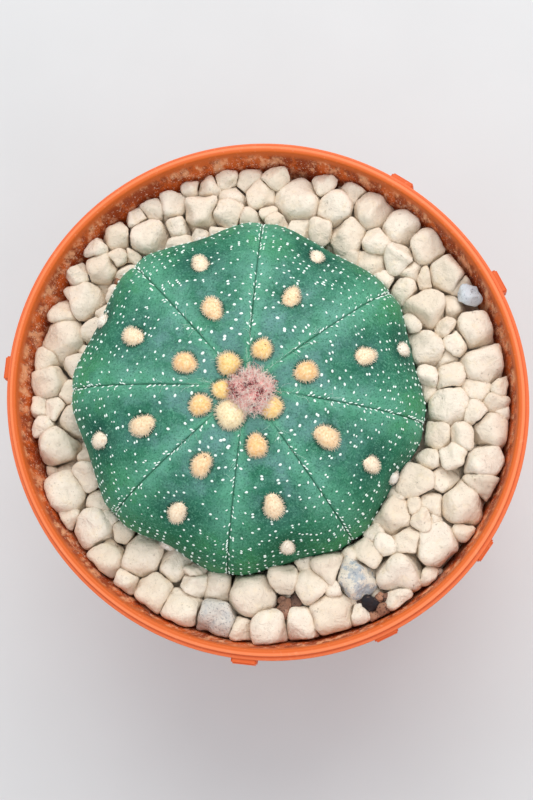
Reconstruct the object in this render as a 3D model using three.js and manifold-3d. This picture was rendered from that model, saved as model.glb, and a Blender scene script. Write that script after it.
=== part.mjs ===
// A star cactus in a round orange plastic pot, top-dressed with pumice stones.
//
// Millimetres and degrees, +Z up. The origin is on the pot's axis, at the level that its feet stand on.
// The viewer looks down on the crown from the -Y side. Angles are counted from +X towards +Y.

import * as THREE from "three";
import { mergeVertices } from "three/addons/utils/BufferGeometryUtils.js";
import Module from "manifold-3d";

// ---- Driving dimensions: the pot ----

const POT_HEIGHT = 84;
const RIM_RADIUS = 49.7; // a four-inch grower's pot
const WALL = 1;
const BASE_RADIUS = 34.4; // outside of the wall, carried down to the ground
const TAPER = 0.17; // growth of the radius for each millimetre of height
const FLOOR_UNDERSIDE = 2; // the floor is raised above the feet
const FLOOR_TOP = 3.2;
const FOOT_INNER_RADIUS = 31.4;
const FOOT_OUTER_RADIUS = 34;
const COLLAR_HEIGHT = 10; // the thicker band below the rim
const COLLAR_DRAFT = 0.8;
const RIM_BAND = 1.25; // width of the flat top of the rim
const LEDGE_DROP = 0.7; // the outer ledge lies below the flat top
const POT_SEGMENTS = 48;
const MIX_SEGMENTS = 24;
const RIM_PRESS = 0.02; // the soft rim is pressed oval by this share, and the foot not at all
const RIM_LONG_HEADING = -47;

const DRAIN_HOLES = 6;
const DRAIN_RADIUS = 3.5;
const DRAIN_CIRCLE = 21;
const FOOT_NOTCHES = 4; // each notch crosses the whole foot ring, so it makes two gaps
const FOOT_NOTCH_WIDTH = 5;
const FOOT_NOTCH_HEIGHT = 1.2;

// Heading of each lug, and how far it reaches beyond the rim.
const LUGS = [
  [25, 0.9],
  [56, 0.9],
  [174, 0.9],
  [265, 0.9],
  [296, 0.5],
  [324, 0.5],
];
const LUG_LENGTH = 4.7;
const LUG_CHAMFER = 0.6;
const LUG_ROOT = 1.2; // sunk into the collar
const LUG_TOP = 82.9;
const LUG_HEIGHT = 3;

// ---- Driving dimensions: what fills the pot ----

const GAP = 0.3; // between neighbouring pieces
const MIX_TOP = 64;
const BED_TOP = 76.4; // the solid part of the pumice layer, below its loose top
const LARGE_TOP = 80.4; // height of the tops of the stones that are listed below
const STONE_LEAST_RADIUS = 1.8;
const STONE_MOST_RADIUS = 3.7;
const STONE_SKEW = 1.2; // above 1, small stones outnumber large ones
const TOP_STONES = 82; // seeded stones that fill the surface between the listed ones
const TOP_STONE_DEPTH = 1.6; // some of them lie this much lower
const SETTLING_ROUNDS = 60;
const STONE_FLOOR = 69;
const STONE_TRIES = 260; // stones dropped into what room is left
const PLACES_TRIED = 36; // each comes to rest at the lowest of these
const STONE_LEVEL = 78.6; // none of them stands higher than its share below this
const STONE_SEED = 4;
const NESTLE = 0.86; // angular stones lie closer than balls of their size
const CELL_GAP = 0.2; // between the flats of two neighbouring stones
const EDGE_HARDNESS = 13; // higher is more angular
const FACETS = 6; // broken faces on each stone, beside those that face its neighbours
const ROOT_DEPTH = 0.9; // how far a stone reaches into the bed
const SLIVER = 0.1; // edges shorter than this are smoothed away
const BURIED = 0.25; // a stone whose middle lies deeper than this in the bed, in radii, doesn't show

// Stones that catch the eye, by the place of their middle, their radius, how far they are drawn out,
// and the heading of their long axis. The rest of the stones are strewn between them.
const LARGE_STONES = [
  { x: 5.5, y: 39.5, radius: 5.2, stretch: 1.1, heading: 100 },
  { x: 14, y: 37.5, radius: 3.9, stretch: 1.25, heading: 5 },
  { x: 21.5, y: 37, radius: 4.0, stretch: 1.25, heading: 175 },
  { x: 27.5, y: 34.5, radius: 3.9, stretch: 1.1, heading: 45 },
  { x: 31, y: 29, radius: 3.4, stretch: 1.5, heading: 0 },
  { x: 26, y: 27.5, radius: 3.3, stretch: 1.1, heading: 60 },
  { x: 17, y: 31.5, radius: 3.6, stretch: 1.2, heading: 110 },
  { x: 21.5, y: 30.5, radius: 2.8, stretch: 1.2, heading: 20 },
  { x: 36, y: 23.5, radius: 4.0, stretch: 1.5, heading: 105 },
  { x: 32, y: 17.5, radius: 4.5, stretch: 1.3, heading: 5 },
  { x: 40, y: 12.5, radius: 4.0, stretch: 1.2, heading: 140 },
  { x: 31, y: 8.5, radius: 3.9, stretch: 1.1, heading: 40 },
  { x: 43, y: 5, radius: 4.8, stretch: 1.2, heading: 100 },
  { x: 35.5, y: -2.5, radius: 4.6, stretch: 1.35, heading: 125 },
  { x: 42.5, y: -7.5, radius: 3.6, stretch: 1.15, heading: 20 },
  { x: 42.5, y: -13.5, radius: 4.0, stretch: 1.2, heading: 0 },
  { x: 37, y: -21, radius: 4.3, stretch: 1.15, heading: 60 },
  { x: 32, y: -28.5, radius: 4.1, stretch: 1.3, heading: 170 },
  { x: 23.5, y: -22.5, radius: 3.7, stretch: 1.7, heading: 100 },
  { x: 25.5, y: -33.5, radius: 4.3, stretch: 1.2, heading: 110 },
  { x: 12.5, y: -42, radius: 4.3, stretch: 1.15, heading: 10 },
  { x: 9, y: -36.5, radius: 3.4, stretch: 1.5, heading: 75 },
  { x: -2, y: -38, radius: 5.0, stretch: 1.25, heading: 5 },
  { x: -2, y: -44.5, radius: 3.3, stretch: 1.1, heading: 0 },
  { x: -16.5, y: -41, radius: 3.9, stretch: 1.25, heading: 5 },
  { x: -23, y: -39, radius: 3.7, stretch: 1.1, heading: 150 },
  { x: -24, y: -33, radius: 4.2, stretch: 1.4, heading: 160 },
  { x: -31.5, y: -31.5, radius: 3.5, stretch: 1.1, heading: 130 },
  { x: -33, y: -25, radius: 4.0, stretch: 1.1, heading: 0 },
  { x: -39.5, y: -18, radius: 4.3, stretch: 1.15, heading: 120 },
  { x: -41, y: -8.5, radius: 4.2, stretch: 1.2, heading: 100 },
  { x: -42.5, y: 4, radius: 3.9, stretch: 1.35, heading: 5 },
  { x: -36.5, y: 7, radius: 2.8, stretch: 1.2, heading: 80 },
  { x: -39.5, y: 12.5, radius: 5.0, stretch: 1.3, heading: 65 },
  { x: -34, y: 14, radius: 2.9, stretch: 1.2, heading: 70 },
  { x: -36, y: 20.5, radius: 3.9, stretch: 1.35, heading: 0 },
  { x: -32.5, y: 27, radius: 3.3, stretch: 1.15, heading: 0 },
  { x: -23.5, y: 33, radius: 4.7, stretch: 1.2, heading: 160 },
  { x: -12.5, y: 38, radius: 3.8, stretch: 1.6, heading: 95 },
  { x: -7.5, y: 37, radius: 3.1, stretch: 1.15, heading: 90 },
  { x: -0.5, y: 40.5, radius: 3.3, stretch: 1.6, heading: 85 },
];
const ODD_STONES = [
  { name: "blue_grey_stone", x: 16.5, y: -34.5, radius: 3.8, stretch: 1.5, heading: 70, color: 0x8f9aa3 },
  { name: "pale_grey_stone", x: -9.5, y: -42, radius: 4.0, stretch: 1.05, heading: 40, color: 0xb9b8b0 },
  { name: "small_grey_stone", x: 39.5, y: 19, radius: 1.9, stretch: 1.3, heading: 70, color: 0xc3c9cf },
];

// ---- Driving dimensions: the plant, in its own upright frame round the middle of its equator ----

const PLANT_PLACE = [-2.9, -0.3, 80];
const PLANT_LEAN = 7; // the crown leans this much from the vertical
const PLANT_LEAN_HEADING = -35;
const BODY_RADIUS = 34.3; // at the corners, beside the furrows
const DOME_HEIGHT = 17.5;
const DOME_FULLNESS = 2.25; // 2 is an ellipse, and more has fuller shoulders
const CROWN_SINK = 1.1;
const CROWN_SINK_RADIUS = 5;
const UNDERSIDE_DEPTH = 19;
const ROOT_RADIUS = 7;
const ROOT_LENGTH = 28;
const ROOT_TIP_SHARE = 0.25; // of the root's radius, left just before its end

const FURROW_ANGLES = [35.8, 84.8, 131, 177.9, 221.4, 263.1, 305.3, 350.4];
const RIB_HOLLOW = 2.1; // a rib's middle lies this far below the corners beside its furrows
const RIB_HOLLOW_POWER = 1.4;
const FURROW_DEPTH = 0.8;
const FURROW_WIDTH = 0.5;
const DIMPLE_DEPTH = 0.55;
const DIMPLE_RADIUS = 3.2;

// Areoles of each rib, from the crown outwards: the angle down from the crown (90 at the equator),
// the width, and where it isn't 0 the turn away from the rib's middle.
// The first rib lies between the first and second furrows.
const AREOLES = [
  [[10, 3.8, 5], [30.5, 3.5, 3], [60, 3.0, 2.5]],
  [[6.5, 4.3, 19], [24.5, 4.0, 5], [47.5, 3.4, 2], [88, 2.9, -1]],
  [[17.5, 4.0, 4], [41, 3.8], [74, 3.1, -2]],
  [[5.5, 3.6, -11], [12.5, 4.0, 3], [33.5, 4.1], [60, 3.4, -2]],
  [[7.5, 5.6], [25.5, 3.9, -2], [48.5, 3.7, -2], [90, 3.3, -1.5]],
  [[16, 4.0, -4], [38, 4.1, -1.5], [64.5, 3.0]],
  [[8, 4.3, -8], [27.5, 4.3], [51.5, 3.3, 1], [79, 2.8, 2]],
  [[16.5, 4.0], [39.5, 3.7, 2], [69, 3.0, 2.5]],
];
const AREOLE_RISE = 0.42; // height of an areole's pad above the skin, in widths
const AREOLE_SIDES = 7;
const AREOLE_RINGS = 5;

const BUD_CORE_RADIUS = 3.5;
const BUD_CORE_RISE = 0.6; // the core is a flattened ball
const BUD_TEPALS = 28;
const TEPAL_LENGTH = 3.4;
const TEPAL_ROOT_RADIUS = 0.62;
const TEPAL_TIP_RADIUS = 0.34;
const TEPAL_SINK = 2.2; // the length inside the core
const BUD_LIFT = 0.5; // the core's middle above the crown
const BUD_ASIDE = [1.1, -1.1]; // it has dried a little off the middle of the crown
const BUD_SEED = 7;

// ---- Colours and finishes ----

const SKINS = {
  pot: new THREE.MeshStandardMaterial({ color: 0xe8682f, roughness: 0.45, metalness: 0 }),
  mix: new THREE.MeshStandardMaterial({ color: 0x3b2a20, roughness: 0.95, metalness: 0 }),
  pumice: new THREE.MeshStandardMaterial({ color: 0xe9dcc2, roughness: 0.9, metalness: 0 }),
  cactus: new THREE.MeshStandardMaterial({ color: 0x2c7a55, roughness: 0.6, metalness: 0 }),
  bud: new THREE.MeshStandardMaterial({ color: 0xc98a86, roughness: 0.95, metalness: 0 }),
};

// ---- Solids ----

const wasm = await Module();
wasm.setup();

const WELD_DISTANCE = 1e-4;

// A closed geometry as a solid that can be joined and cut.
function solid(geometry) {
  const bare = geometry.clone();
  bare.deleteAttribute("normal");
  bare.deleteAttribute("uv");
  const welded = mergeVertices(bare, WELD_DISTANCE);
  const mesh = new wasm.Mesh({
    numProp: 3,
    vertProperties: welded.attributes.position.array,
    triVerts: Uint32Array.from(welded.index.array),
  });
  return new wasm.Manifold(mesh);
}

// A solid's surface as a geometry again.
function surface(made) {
  const mesh = made.getMesh();
  return new THREE.BufferGeometry()
    .setAttribute("position", new THREE.BufferAttribute(mesh.vertProperties, 3))
    .setIndex(new THREE.BufferAttribute(mesh.triVerts, 1));
}

// The largest body of a solid, without the loose scraps that a cut leaves.
function largestBody(made) {
  const bodies = made.decompose();
  return bodies.reduce((most, body) => (body.volume() > most.volume() ? body : most));
}

function node(name, geometry, skin) {
  const mesh = new THREE.Mesh(geometry, skin);
  mesh.name = name;
  return mesh;
}

// A profile of [radius, height] points turned round the Z axis.
function turned(profile, segments) {
  const points = profile.map(([radius, height]) => new THREE.Vector2(radius, height));
  return new THREE.LatheGeometry(points, segments).rotateX(Math.PI / 2);
}

// A closed skin through rings of points, from a top pole to a bottom pole.
function closedSkin(rings, top, bottom) {
  const columns = rings[0].length;
  const points = [top, ...rings.flat(), bottom];
  const corners = [];
  const at = (ring, column) => 1 + ring * columns + (column % columns);
  for (let column = 0; column < columns; column++) {
    corners.push(0, at(0, column), at(0, column + 1));
    for (let ring = 0; ring + 1 < rings.length; ring++) {
      corners.push(at(ring, column), at(ring + 1, column), at(ring, column + 1));
      corners.push(at(ring, column + 1), at(ring + 1, column), at(ring + 1, column + 1));
    }
    corners.push(points.length - 1, at(rings.length - 1, column + 1), at(rings.length - 1, column));
  }
  const positions = points.flatMap((point) => point.toArray());
  return new THREE.BufferGeometry()
    .setAttribute("position", new THREE.Float32BufferAttribute(positions, 3))
    .setIndex(corners);
}

// Repeatable draws between 0 and 1.
function seededDraw(seed) {
  let state = seed;
  return () => {
    state = (state + 0x6d2b79f5) | 0;
    let mixed = Math.imul(state ^ (state >>> 15), 1 | state);
    mixed = (mixed + Math.imul(mixed ^ (mixed >>> 7), 61 | mixed)) ^ mixed;
    return ((mixed ^ (mixed >>> 14)) >>> 0) / 2 ** 32;
  };
}

// A direction spread evenly over the ball, from two draws.
function drawnDirection(draw) {
  const height = 2 * draw() - 1;
  const turn = 2 * Math.PI * draw();
  const across = Math.sqrt(1 - height * height);
  return new THREE.Vector3(across * Math.cos(turn), across * Math.sin(turn), height);
}

const radians = THREE.MathUtils.degToRad;
const UP = new THREE.Vector3(0, 0, 1);

// Moves a point of the round pot to where the press takes it, or back again with a direction of -1.
function press(point, direction) {
  const share = (direction * RIM_PRESS * point.z) / POT_HEIGHT;
  point.applyAxisAngle(UP, -radians(RIM_LONG_HEADING));
  point.x *= 1 + share;
  point.y *= 1 - share;
  return point.applyAxisAngle(UP, radians(RIM_LONG_HEADING));
}

// A geometry of the round pot, or of what fills it, pressed oval with the pot.
function pressedOval(geometry) {
  const position = geometry.attributes.position;
  const point = new THREE.Vector3();
  for (let corner = 0; corner < position.count; corner++) {
    press(point.fromBufferAttribute(position, corner), 1);
    position.setXYZ(corner, point.x, point.y, point.z);
  }
  return geometry;
}

// ---- The pot ----

const wallOutside = (height) => BASE_RADIUS + TAPER * height;
const wallInside = (height) => wallOutside(height) - WALL;

function makePot() {
  const collarFoot = POT_HEIGHT - COLLAR_HEIGHT;
  const ledge = POT_HEIGHT - LEDGE_DROP;
  const mouth = wallInside(POT_HEIGHT);
  const band = mouth + RIM_BAND;
  const profile = [
    [0, FLOOR_UNDERSIDE],
    [FOOT_INNER_RADIUS - 0.5, FLOOR_UNDERSIDE],
    [FOOT_INNER_RADIUS, 0],
    [FOOT_OUTER_RADIUS, 0],
    [wallOutside(1), 1],
    [wallOutside(collarFoot), collarFoot],
    [RIM_RADIUS - COLLAR_DRAFT - 0.3, collarFoot],
    [RIM_RADIUS - COLLAR_DRAFT, collarFoot + 0.4],
    [RIM_RADIUS, ledge - 0.3],
    [RIM_RADIUS - 0.3, ledge],
    [band + 0.1, ledge],
    [band, POT_HEIGHT - 0.2],
    [band - 0.2, POT_HEIGHT],
    [mouth + 0.2, POT_HEIGHT],
    [mouth - 0.05, POT_HEIGHT - 0.25],
    [wallInside(FLOOR_TOP + 2), FLOOR_TOP + 2],
    [wallInside(FLOOR_TOP) - 1.6, FLOOR_TOP],
    [0, FLOOR_TOP],
  ];
  let pot = solid(turned(profile, POT_SEGMENTS));

  for (const [angle, reach] of LUGS) {
    pot = pot.add(solid(makeLug(radians(angle), reach)));
  }
  for (let hole = 0; hole <= DRAIN_HOLES; hole++) {
    const angle = (2 * Math.PI * hole) / DRAIN_HOLES;
    const out = hole < DRAIN_HOLES ? DRAIN_CIRCLE : 0;
    const drill = new THREE.CylinderGeometry(DRAIN_RADIUS, DRAIN_RADIUS, 10, 16)
      .rotateX(Math.PI / 2)
      .translate(out * Math.cos(angle), out * Math.sin(angle), FLOOR_TOP);
    pot = pot.subtract(solid(drill));
  }
  for (let notch = 0; notch < FOOT_NOTCHES; notch++) {
    const channel = new THREE.BoxGeometry(3 * RIM_RADIUS, FOOT_NOTCH_WIDTH, 2 * FOOT_NOTCH_HEIGHT)
      .rotateZ((Math.PI * notch) / FOOT_NOTCHES);
    pot = pot.subtract(solid(channel));
  }
  return node("pot", pressedOval(surface(pot)), SKINS.pot);
}

// A small block on the collar, with its two outer corners cut off.
function makeLug(angle, reach) {
  const half = LUG_LENGTH / 2;
  const inner = RIM_RADIUS - LUG_ROOT;
  const outer = RIM_RADIUS + reach;
  const plan = new THREE.Shape([
    new THREE.Vector2(inner, -half),
    new THREE.Vector2(outer - LUG_CHAMFER, -half),
    new THREE.Vector2(outer, LUG_CHAMFER - half),
    new THREE.Vector2(outer, half - LUG_CHAMFER),
    new THREE.Vector2(outer - LUG_CHAMFER, half),
    new THREE.Vector2(inner, half),
  ]);
  return new THREE.ExtrudeGeometry(plan, { depth: LUG_HEIGHT, bevelEnabled: false })
    .rotateZ(angle)
    .translate(0, 0, LUG_TOP - LUG_HEIGHT);
}

// ---- The cactus ----

// Radius and height of the round body, before its ribs are raised: 0 at the crown, 1 at the equator,
// 2 where the underside meets the root, and 3 at the root's tip.
function bodyProfile(down) {
  if (down <= 1) {
    const angle = (down * Math.PI) / 2;
    const radius = BODY_RADIUS * Math.sin(angle) ** (2 / DOME_FULLNESS);
    const sink = CROWN_SINK * Math.exp(-((radius / CROWN_SINK_RADIUS) ** 2));
    const height = DOME_HEIGHT * Math.max(0, Math.cos(angle)) ** (2 / DOME_FULLNESS) - sink;
    return new THREE.Vector2(radius, height);
  }
  if (down <= 2) {
    const angle = ((down - 1) * Math.PI) / 2;
    const radius = ROOT_RADIUS + (BODY_RADIUS - ROOT_RADIUS) * Math.cos(angle);
    return new THREE.Vector2(radius, -UNDERSIDE_DEPTH * Math.sin(angle));
  }
  const along = down - 2;
  const radius = ROOT_RADIUS * (1 - (1 - ROOT_TIP_SHARE) * along);
  return new THREE.Vector2(radius, -UNDERSIDE_DEPTH - ROOT_LENGTH * along);
}

// The outward normal of the round body, as [radius, height].
function bodyNormal(down) {
  const step = 1e-3;
  const before = bodyProfile(Math.max(0, down - step));
  const after = bodyProfile(down + step);
  return new THREE.Vector2(before.y - after.y, after.x - before.x).normalize();
}

// How far an angle is across its rib: 0 in the rib's middle, -1 and 1 in its furrows.
function acrossRib(angle) {
  const turn = THREE.MathUtils.euclideanModulo(angle - FURROW_ANGLES[0], 360);
  for (let rib = 0; rib < FURROW_ANGLES.length; rib++) {
    const { start, width } = ribSpan(rib);
    const into = turn - (start - FURROW_ANGLES[0]);
    if (into <= width) {
      return { across: (2 * into) / width - 1, halfWidth: width / 2 };
    }
  }
  return { across: -1, halfWidth: ribSpan(0).width / 2 };
}

function ribSpan(rib) {
  const start = FURROW_ANGLES[rib];
  const next = FURROW_ANGLES[(rib + 1) % FURROW_ANGLES.length];
  return { start, width: THREE.MathUtils.euclideanModulo(next - start, 360) };
}

function ribMiddle(rib) {
  const { start, width } = ribSpan(rib);
  return start + width / 2;
}

// Depth of a rib's hollow middle, with a rounded corner at each furrow.
function ribHollow(across) {
  return RIB_HOLLOW * Math.cos((Math.PI / 2) * Math.min(1, Math.abs(across))) ** RIB_HOLLOW_POWER;
}

// How strongly the ribs stand out: nothing at the crown, fully on the flanks, and nothing on the root.
function ribStrength(down) {
  const rising = THREE.MathUtils.smoothstep(down, 0.05, 0.75);
  return rising * (1 - THREE.MathUtils.smoothstep(down, 1.15, 1.8));
}

function furrowStrength(down) {
  const rising = THREE.MathUtils.smoothstep(down, 0.08, 0.3);
  return rising * (1 - THREE.MathUtils.smoothstep(down, 1.2, 1.7));
}

const onRound = (angle, radius, height) =>
  new THREE.Vector3(radius * Math.cos(radians(angle)), radius * Math.sin(radians(angle)), height);

// A point of the ribbed skin. grown is how far it lies outside the real skin.
function skinPoint(angle, down, grown) {
  const { x: radius, y: height } = bodyProfile(down);
  const normal = bodyNormal(down);
  const { across, halfWidth } = acrossRib(angle);
  const fromFurrow = (1 - Math.abs(across)) * radians(halfWidth) * radius;
  const hollow = ribHollow(across) * ribStrength(down);
  const furrow = FURROW_DEPTH * furrowStrength(down) * Math.exp(-((fromFurrow / FURROW_WIDTH) ** 2));
  const inwards = hollow + furrow + dimple(onRound(angle, radius, height)) - grown;
  return onRound(angle, radius - inwards * normal.x, height - inwards * normal.y);
}

// The skin draws in round each areole.
function dimple(point) {
  return AREOLE_PLACES.reduce((depth, { middle }) => {
    const away = middle.distanceTo(point) / DIMPLE_RADIUS;
    return Math.max(depth, DIMPLE_DEPTH * Math.exp(-away * away));
  }, 0);
}

// Each areole's place on the round body, before its rib is shaped.
const AREOLE_PLACES = AREOLES.flatMap((areoles, rib) =>
  areoles.map(([fromCrown, width, aside = 0]) => {
    const down = fromCrown / 90;
    const angle = ribMiddle(rib) + aside;
    const { x: radius, y: height } = bodyProfile(down);
    return { angle, down, width, middle: onRound(angle, radius, height) };
  }),
);

const RIB_COLUMNS = [-1, -0.93, -0.5, 0, 0.5, 0.93];
const BODY_ROWS = [0.1, 0.2, 0.3, 0.4, 0.5, 0.6, 0.7, 0.8, 0.9, 1, 1.15, 1.35, 1.65, 2, 3];

function ribbedBody(grown) {
  const angles = FURROW_ANGLES.flatMap((start, rib) => {
    const half = ribSpan(rib).width / 2;
    return RIB_COLUMNS.map((across) => ribMiddle(rib) + across * half);
  });
  const rings = BODY_ROWS.map((down) => angles.map((angle) => skinPoint(angle, down, grown)));
  const top = new THREE.Vector3(0, 0, bodyProfile(0).y + grown);
  const bottom = new THREE.Vector3(0, 0, bodyProfile(3).y - 1 - grown);
  return solid(closedSkin(rings, top, bottom));
}

// The domed pad of wool on an areole, half sunk in the skin.
function areolePad({ angle, down, width }, grown) {
  const seat = skinPoint(angle, down, 0);
  const normal = bodyNormal(down);
  const outwards = onRound(angle, normal.x, normal.y);
  const upright = new THREE.Quaternion().setFromUnitVectors(new THREE.Vector3(0, 1, 0), outwards);
  const reach = width / 2 + grown;
  const pad = new THREE.SphereGeometry(1, AREOLE_SIDES, AREOLE_RINGS)
    .scale(reach, AREOLE_RISE * width + grown, reach)
    .applyQuaternion(upright)
    .translate(seat.x, seat.y, seat.z);
  return solid(pad);
}

// The whole plant body, or the room that it takes when it is grown by a gap.
function cactusBody(grown) {
  return AREOLE_PLACES.reduce((body, place) => body.add(areolePad(place, grown)), ribbedBody(grown));
}

// The dried bud: a flattened woolly core with the withered tips standing out of it on every side.
function makeBud(room) {
  const draw = seededDraw(BUD_SEED);
  const middle = [...BUD_ASIDE, bodyProfile(0).y + BUD_LIFT];
  const core = new THREE.SphereGeometry(BUD_CORE_RADIUS, 10, 6)
    .rotateX(Math.PI / 2)
    .scale(1, 1, BUD_CORE_RISE)
    .translate(...middle);
  let bud = solid(core);
  for (let tepal = 0; tepal < BUD_TEPALS; tepal++) {
    bud = bud.add(solid(makeTepal(tepal, draw).translate(...middle)));
  }
  return largestBody(bud.subtract(room));
}

// One withered tip, pointing away from the core. The tips are spread by the golden angle.
function makeTepal(index, draw) {
  const golden = Math.PI * (3 - Math.sqrt(5));
  const height = 1 - (index + 0.5) / BUD_TEPALS;
  const across = Math.sqrt(1 - height * height);
  const turn = golden * index + 0.5 * draw();
  const outwards = new THREE.Vector3(across * Math.cos(turn), across * Math.sin(turn), height);
  outwards.z += 0.3 * draw();
  outwards.normalize();
  const length = TEPAL_LENGTH * (0.75 + 0.5 * draw());
  const reach = BUD_CORE_RADIUS * (1 - (1 - BUD_CORE_RISE) * height) - TEPAL_SINK;
  return new THREE.CylinderGeometry(TEPAL_TIP_RADIUS, TEPAL_ROOT_RADIUS, length, 3)
    .translate(0, length / 2 + reach, 0)
    .applyQuaternion(new THREE.Quaternion().setFromUnitVectors(new THREE.Vector3(0, 1, 0), outwards));
}

// ---- The stones ----

const leanAxis = new THREE.Vector3(0, 0, 1).cross(onRound(PLANT_LEAN_HEADING, 1, 0));

const plant = new THREE.Group();
plant.position.set(...PLANT_PLACE);
plant.quaternion.setFromAxisAngle(leanAxis, radians(PLANT_LEAN));
plant.updateMatrix();
const toPlant = plant.matrix.clone().invert();

// Distance from a point to the plant's ribbed outline at its own height.
function clearOfPlant(point) {
  const local = point.clone().applyMatrix4(toPlant);
  const share = THREE.MathUtils.clamp(-local.z / UNDERSIDE_DEPTH, 0, 1);
  const outline = ROOT_RADIUS + (BODY_RADIUS - ROOT_RADIUS) * Math.sqrt(1 - share * share);
  const { across } = acrossRib(THREE.MathUtils.radToDeg(Math.atan2(local.y, local.x)));
  return Math.hypot(local.x, local.y) - outline + ribHollow(across);
}

// Distance from a point inside the pot to its wall.
function clearOfWall(point) {
  const round = press(point.clone(), -1);
  return wallInside(point.z) - Math.hypot(round.x, round.y);
}

// The place straight below a place where a stone comes to rest on others.
function dropped(place, radius, stones) {
  let z = STONE_FLOOR + radius;
  for (const other of stones) {
    const away = Math.hypot(place.x - other.middle.x, place.y - other.middle.y);
    const touching = NESTLE * (radius + other.radius);
    if (away < touching) {
      z = Math.max(z, other.middle.z + Math.sqrt(touching * touching - away * away));
    }
  }
  return place.clone().setZ(z);
}

// Stones moved apart until they only touch, and kept off the wall and the plant.
// Those already settled stay put.
function settle(stones) {
  for (let round = 0; round < SETTLING_ROUNDS; round++) {
    for (const stone of stones.filter(({ atRest }) => !atRest)) {
      for (const other of stones) {
        const away = other.middle.clone().sub(stone.middle).setZ(0);
        const overlap = NESTLE * (stone.radius + other.radius) - away.length();
        if (other !== stone && overlap > 0) {
          const share = other.atRest ? 1 : 0.5;
          stone.middle.addScaledVector(away.normalize(), -share * overlap);
        }
      }
      keepOffWallAndPlant(stone.middle, stone.radius);
    }
  }
  for (const stone of stones) {
    stone.atRest = true;
  }
}

// Moves the middle of a stone sideways until it only touches the plant and the wall.
function keepOffWallAndPlant(middle, radius) {
  const intoPlant = Math.max(0, NESTLE * radius - clearOfPlant(middle));
  const away = middle.clone().sub(plant.position).setZ(0).normalize();
  middle.addScaledVector(away, intoPlant);
  const intoWall = Math.max(0, NESTLE * radius - clearOfWall(middle));
  const outwards = middle.clone().setZ(0).normalize();
  middle.addScaledVector(outwards, -intoWall);
}

// Every stone of the loose top: the listed ones, those strewn between them, and those that fill the room
// left below.
function pileStones() {
  const draw = seededDraw(STONE_SEED);
  const stones = [...LARGE_STONES, ...ODD_STONES].map((stone) => {
    const middle = new THREE.Vector3(stone.x, stone.y, LARGE_TOP - stone.radius);
    return { ...stone, ...stoneCharacter(draw, stone), middle, eyeCatching: true };
  });
  settle(stones);
  for (let strewn = 0; strewn < TOP_STONES; strewn++) {
    const stone = strewnStone(draw);
    const height = LARGE_TOP - stone.radius - TOP_STONE_DEPTH * draw();
    const places = triedPlaces(draw, height, stone.radius);
    stone.middle = bestOf(places, (place) => roomAt(place, stones));
    stones.push(stone);
  }
  settle(stones);
  for (let tried = 0; tried < STONE_TRIES; tried++) {
    const stone = strewnStone(draw);
    const places = triedPlaces(draw, STONE_LEVEL, stone.radius);
    const rests = places.map((place) => dropped(place, stone.radius, stones));
    stone.middle = bestOf(rests, (rest) => -rest.z);
    if (stone.middle.z + 0.5 * stone.radius < STONE_LEVEL) {
      stones.push(stone);
    }
  }
  return stones;
}

// Places drawn evenly between the plant and the wall.
function triedPlaces(draw, height, radius) {
  return Array.from({ length: PLACES_TRIED }, () => {
    const out = Math.sqrt(THREE.MathUtils.lerp(BODY_RADIUS ** 2, wallInside(height) ** 2, draw()));
    const place = onRound(360 * draw(), out, height);
    keepOffWallAndPlant(place, radius);
    return place;
  });
}

function bestOf(places, merit) {
  return places.reduce((best, place) => (merit(place) > merit(best) ? place : best));
}

// The free distance round a place, seen from above.
function roomAt(place, stones) {
  const rooms = stones.map(({ middle, radius }) => {
    return Math.hypot(place.x - middle.x, place.y - middle.y) - radius;
  });
  return Math.min(...rooms, clearOfWall(place), clearOfPlant(place));
}

function strewnStone(draw) {
  const radius = STONE_LEAST_RADIUS + (STONE_MOST_RADIUS - STONE_LEAST_RADIUS) * draw() ** STONE_SKEW;
  return { radius, ...stoneCharacter(draw, { stretch: 1 + 0.35 * draw(), heading: 360 * draw() }) };
}

// What makes one stone unlike the next: its long axis and its broken faces.
function stoneCharacter(draw, { stretch, heading }) {
  const tip = 0.5 * (draw() - 0.5);
  const long = onRound(heading, 1, tip).normalize();
  const facets = [];
  for (let facet = 0; facet < FACETS; facet++) {
    facets.push({ normal: drawnDirection(draw), share: 0.98 + 0.3 * draw() });
  }
  return { stretch, long, facets };
}

// The flats that keep a stone out of its neighbours, the wall and the plant.
function stoneCell(stone, stones) {
  const { middle } = stone;
  const flats = [];
  for (const other of stones) {
    const towards = other.middle.clone().sub(middle);
    const apart = towards.length();
    if (other !== stone && apart < 1.5 * (stone.radius + other.radius)) {
      const share = (apart * apart + stone.radius ** 2 - other.radius ** 2) / (2 * apart);
      flats.push({ normal: towards.normalize(), distance: share - CELL_GAP / 2 });
    }
  }
  const squareToWall = middle.clone().setZ(0).normalize().setZ(-TAPER).normalize();
  flats.push({ normal: squareToWall, distance: (clearOfWall(middle) - GAP) / Math.hypot(1, TAPER) });
  const inwards = plant.position.clone().sub(middle).setZ(0).normalize();
  flats.push({ normal: inwards, distance: clearOfPlant(middle) - GAP });
  for (const { normal, share } of stone.facets) {
    flats.push({ normal, distance: share * stone.radius });
  }
  const least = 0.35 * stone.radius;
  return flats.map(({ normal, distance }) => ({ normal, distance: Math.max(distance, least) }));
}

// How far a stone reaches from its middle: a drawn-out ball whose flats are softly rounded together.
function stoneReach(stone, flats, direction) {
  const along = direction.dot(stone.long);
  const lengthwise = along / stone.stretch;
  const ball = 1.35 * stone.radius;
  const own = Math.sqrt(1 - along * along + lengthwise * lengthwise) / ball;
  const sum = flats.reduce((total, { normal, distance }) => {
    const facing = Math.max(0, direction.dot(normal)) / distance;
    return total + facing ** EDGE_HARDNESS;
  }, own ** EDGE_HARDNESS);
  return sum ** (-1 / EDGE_HARDNESS);
}

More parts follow.
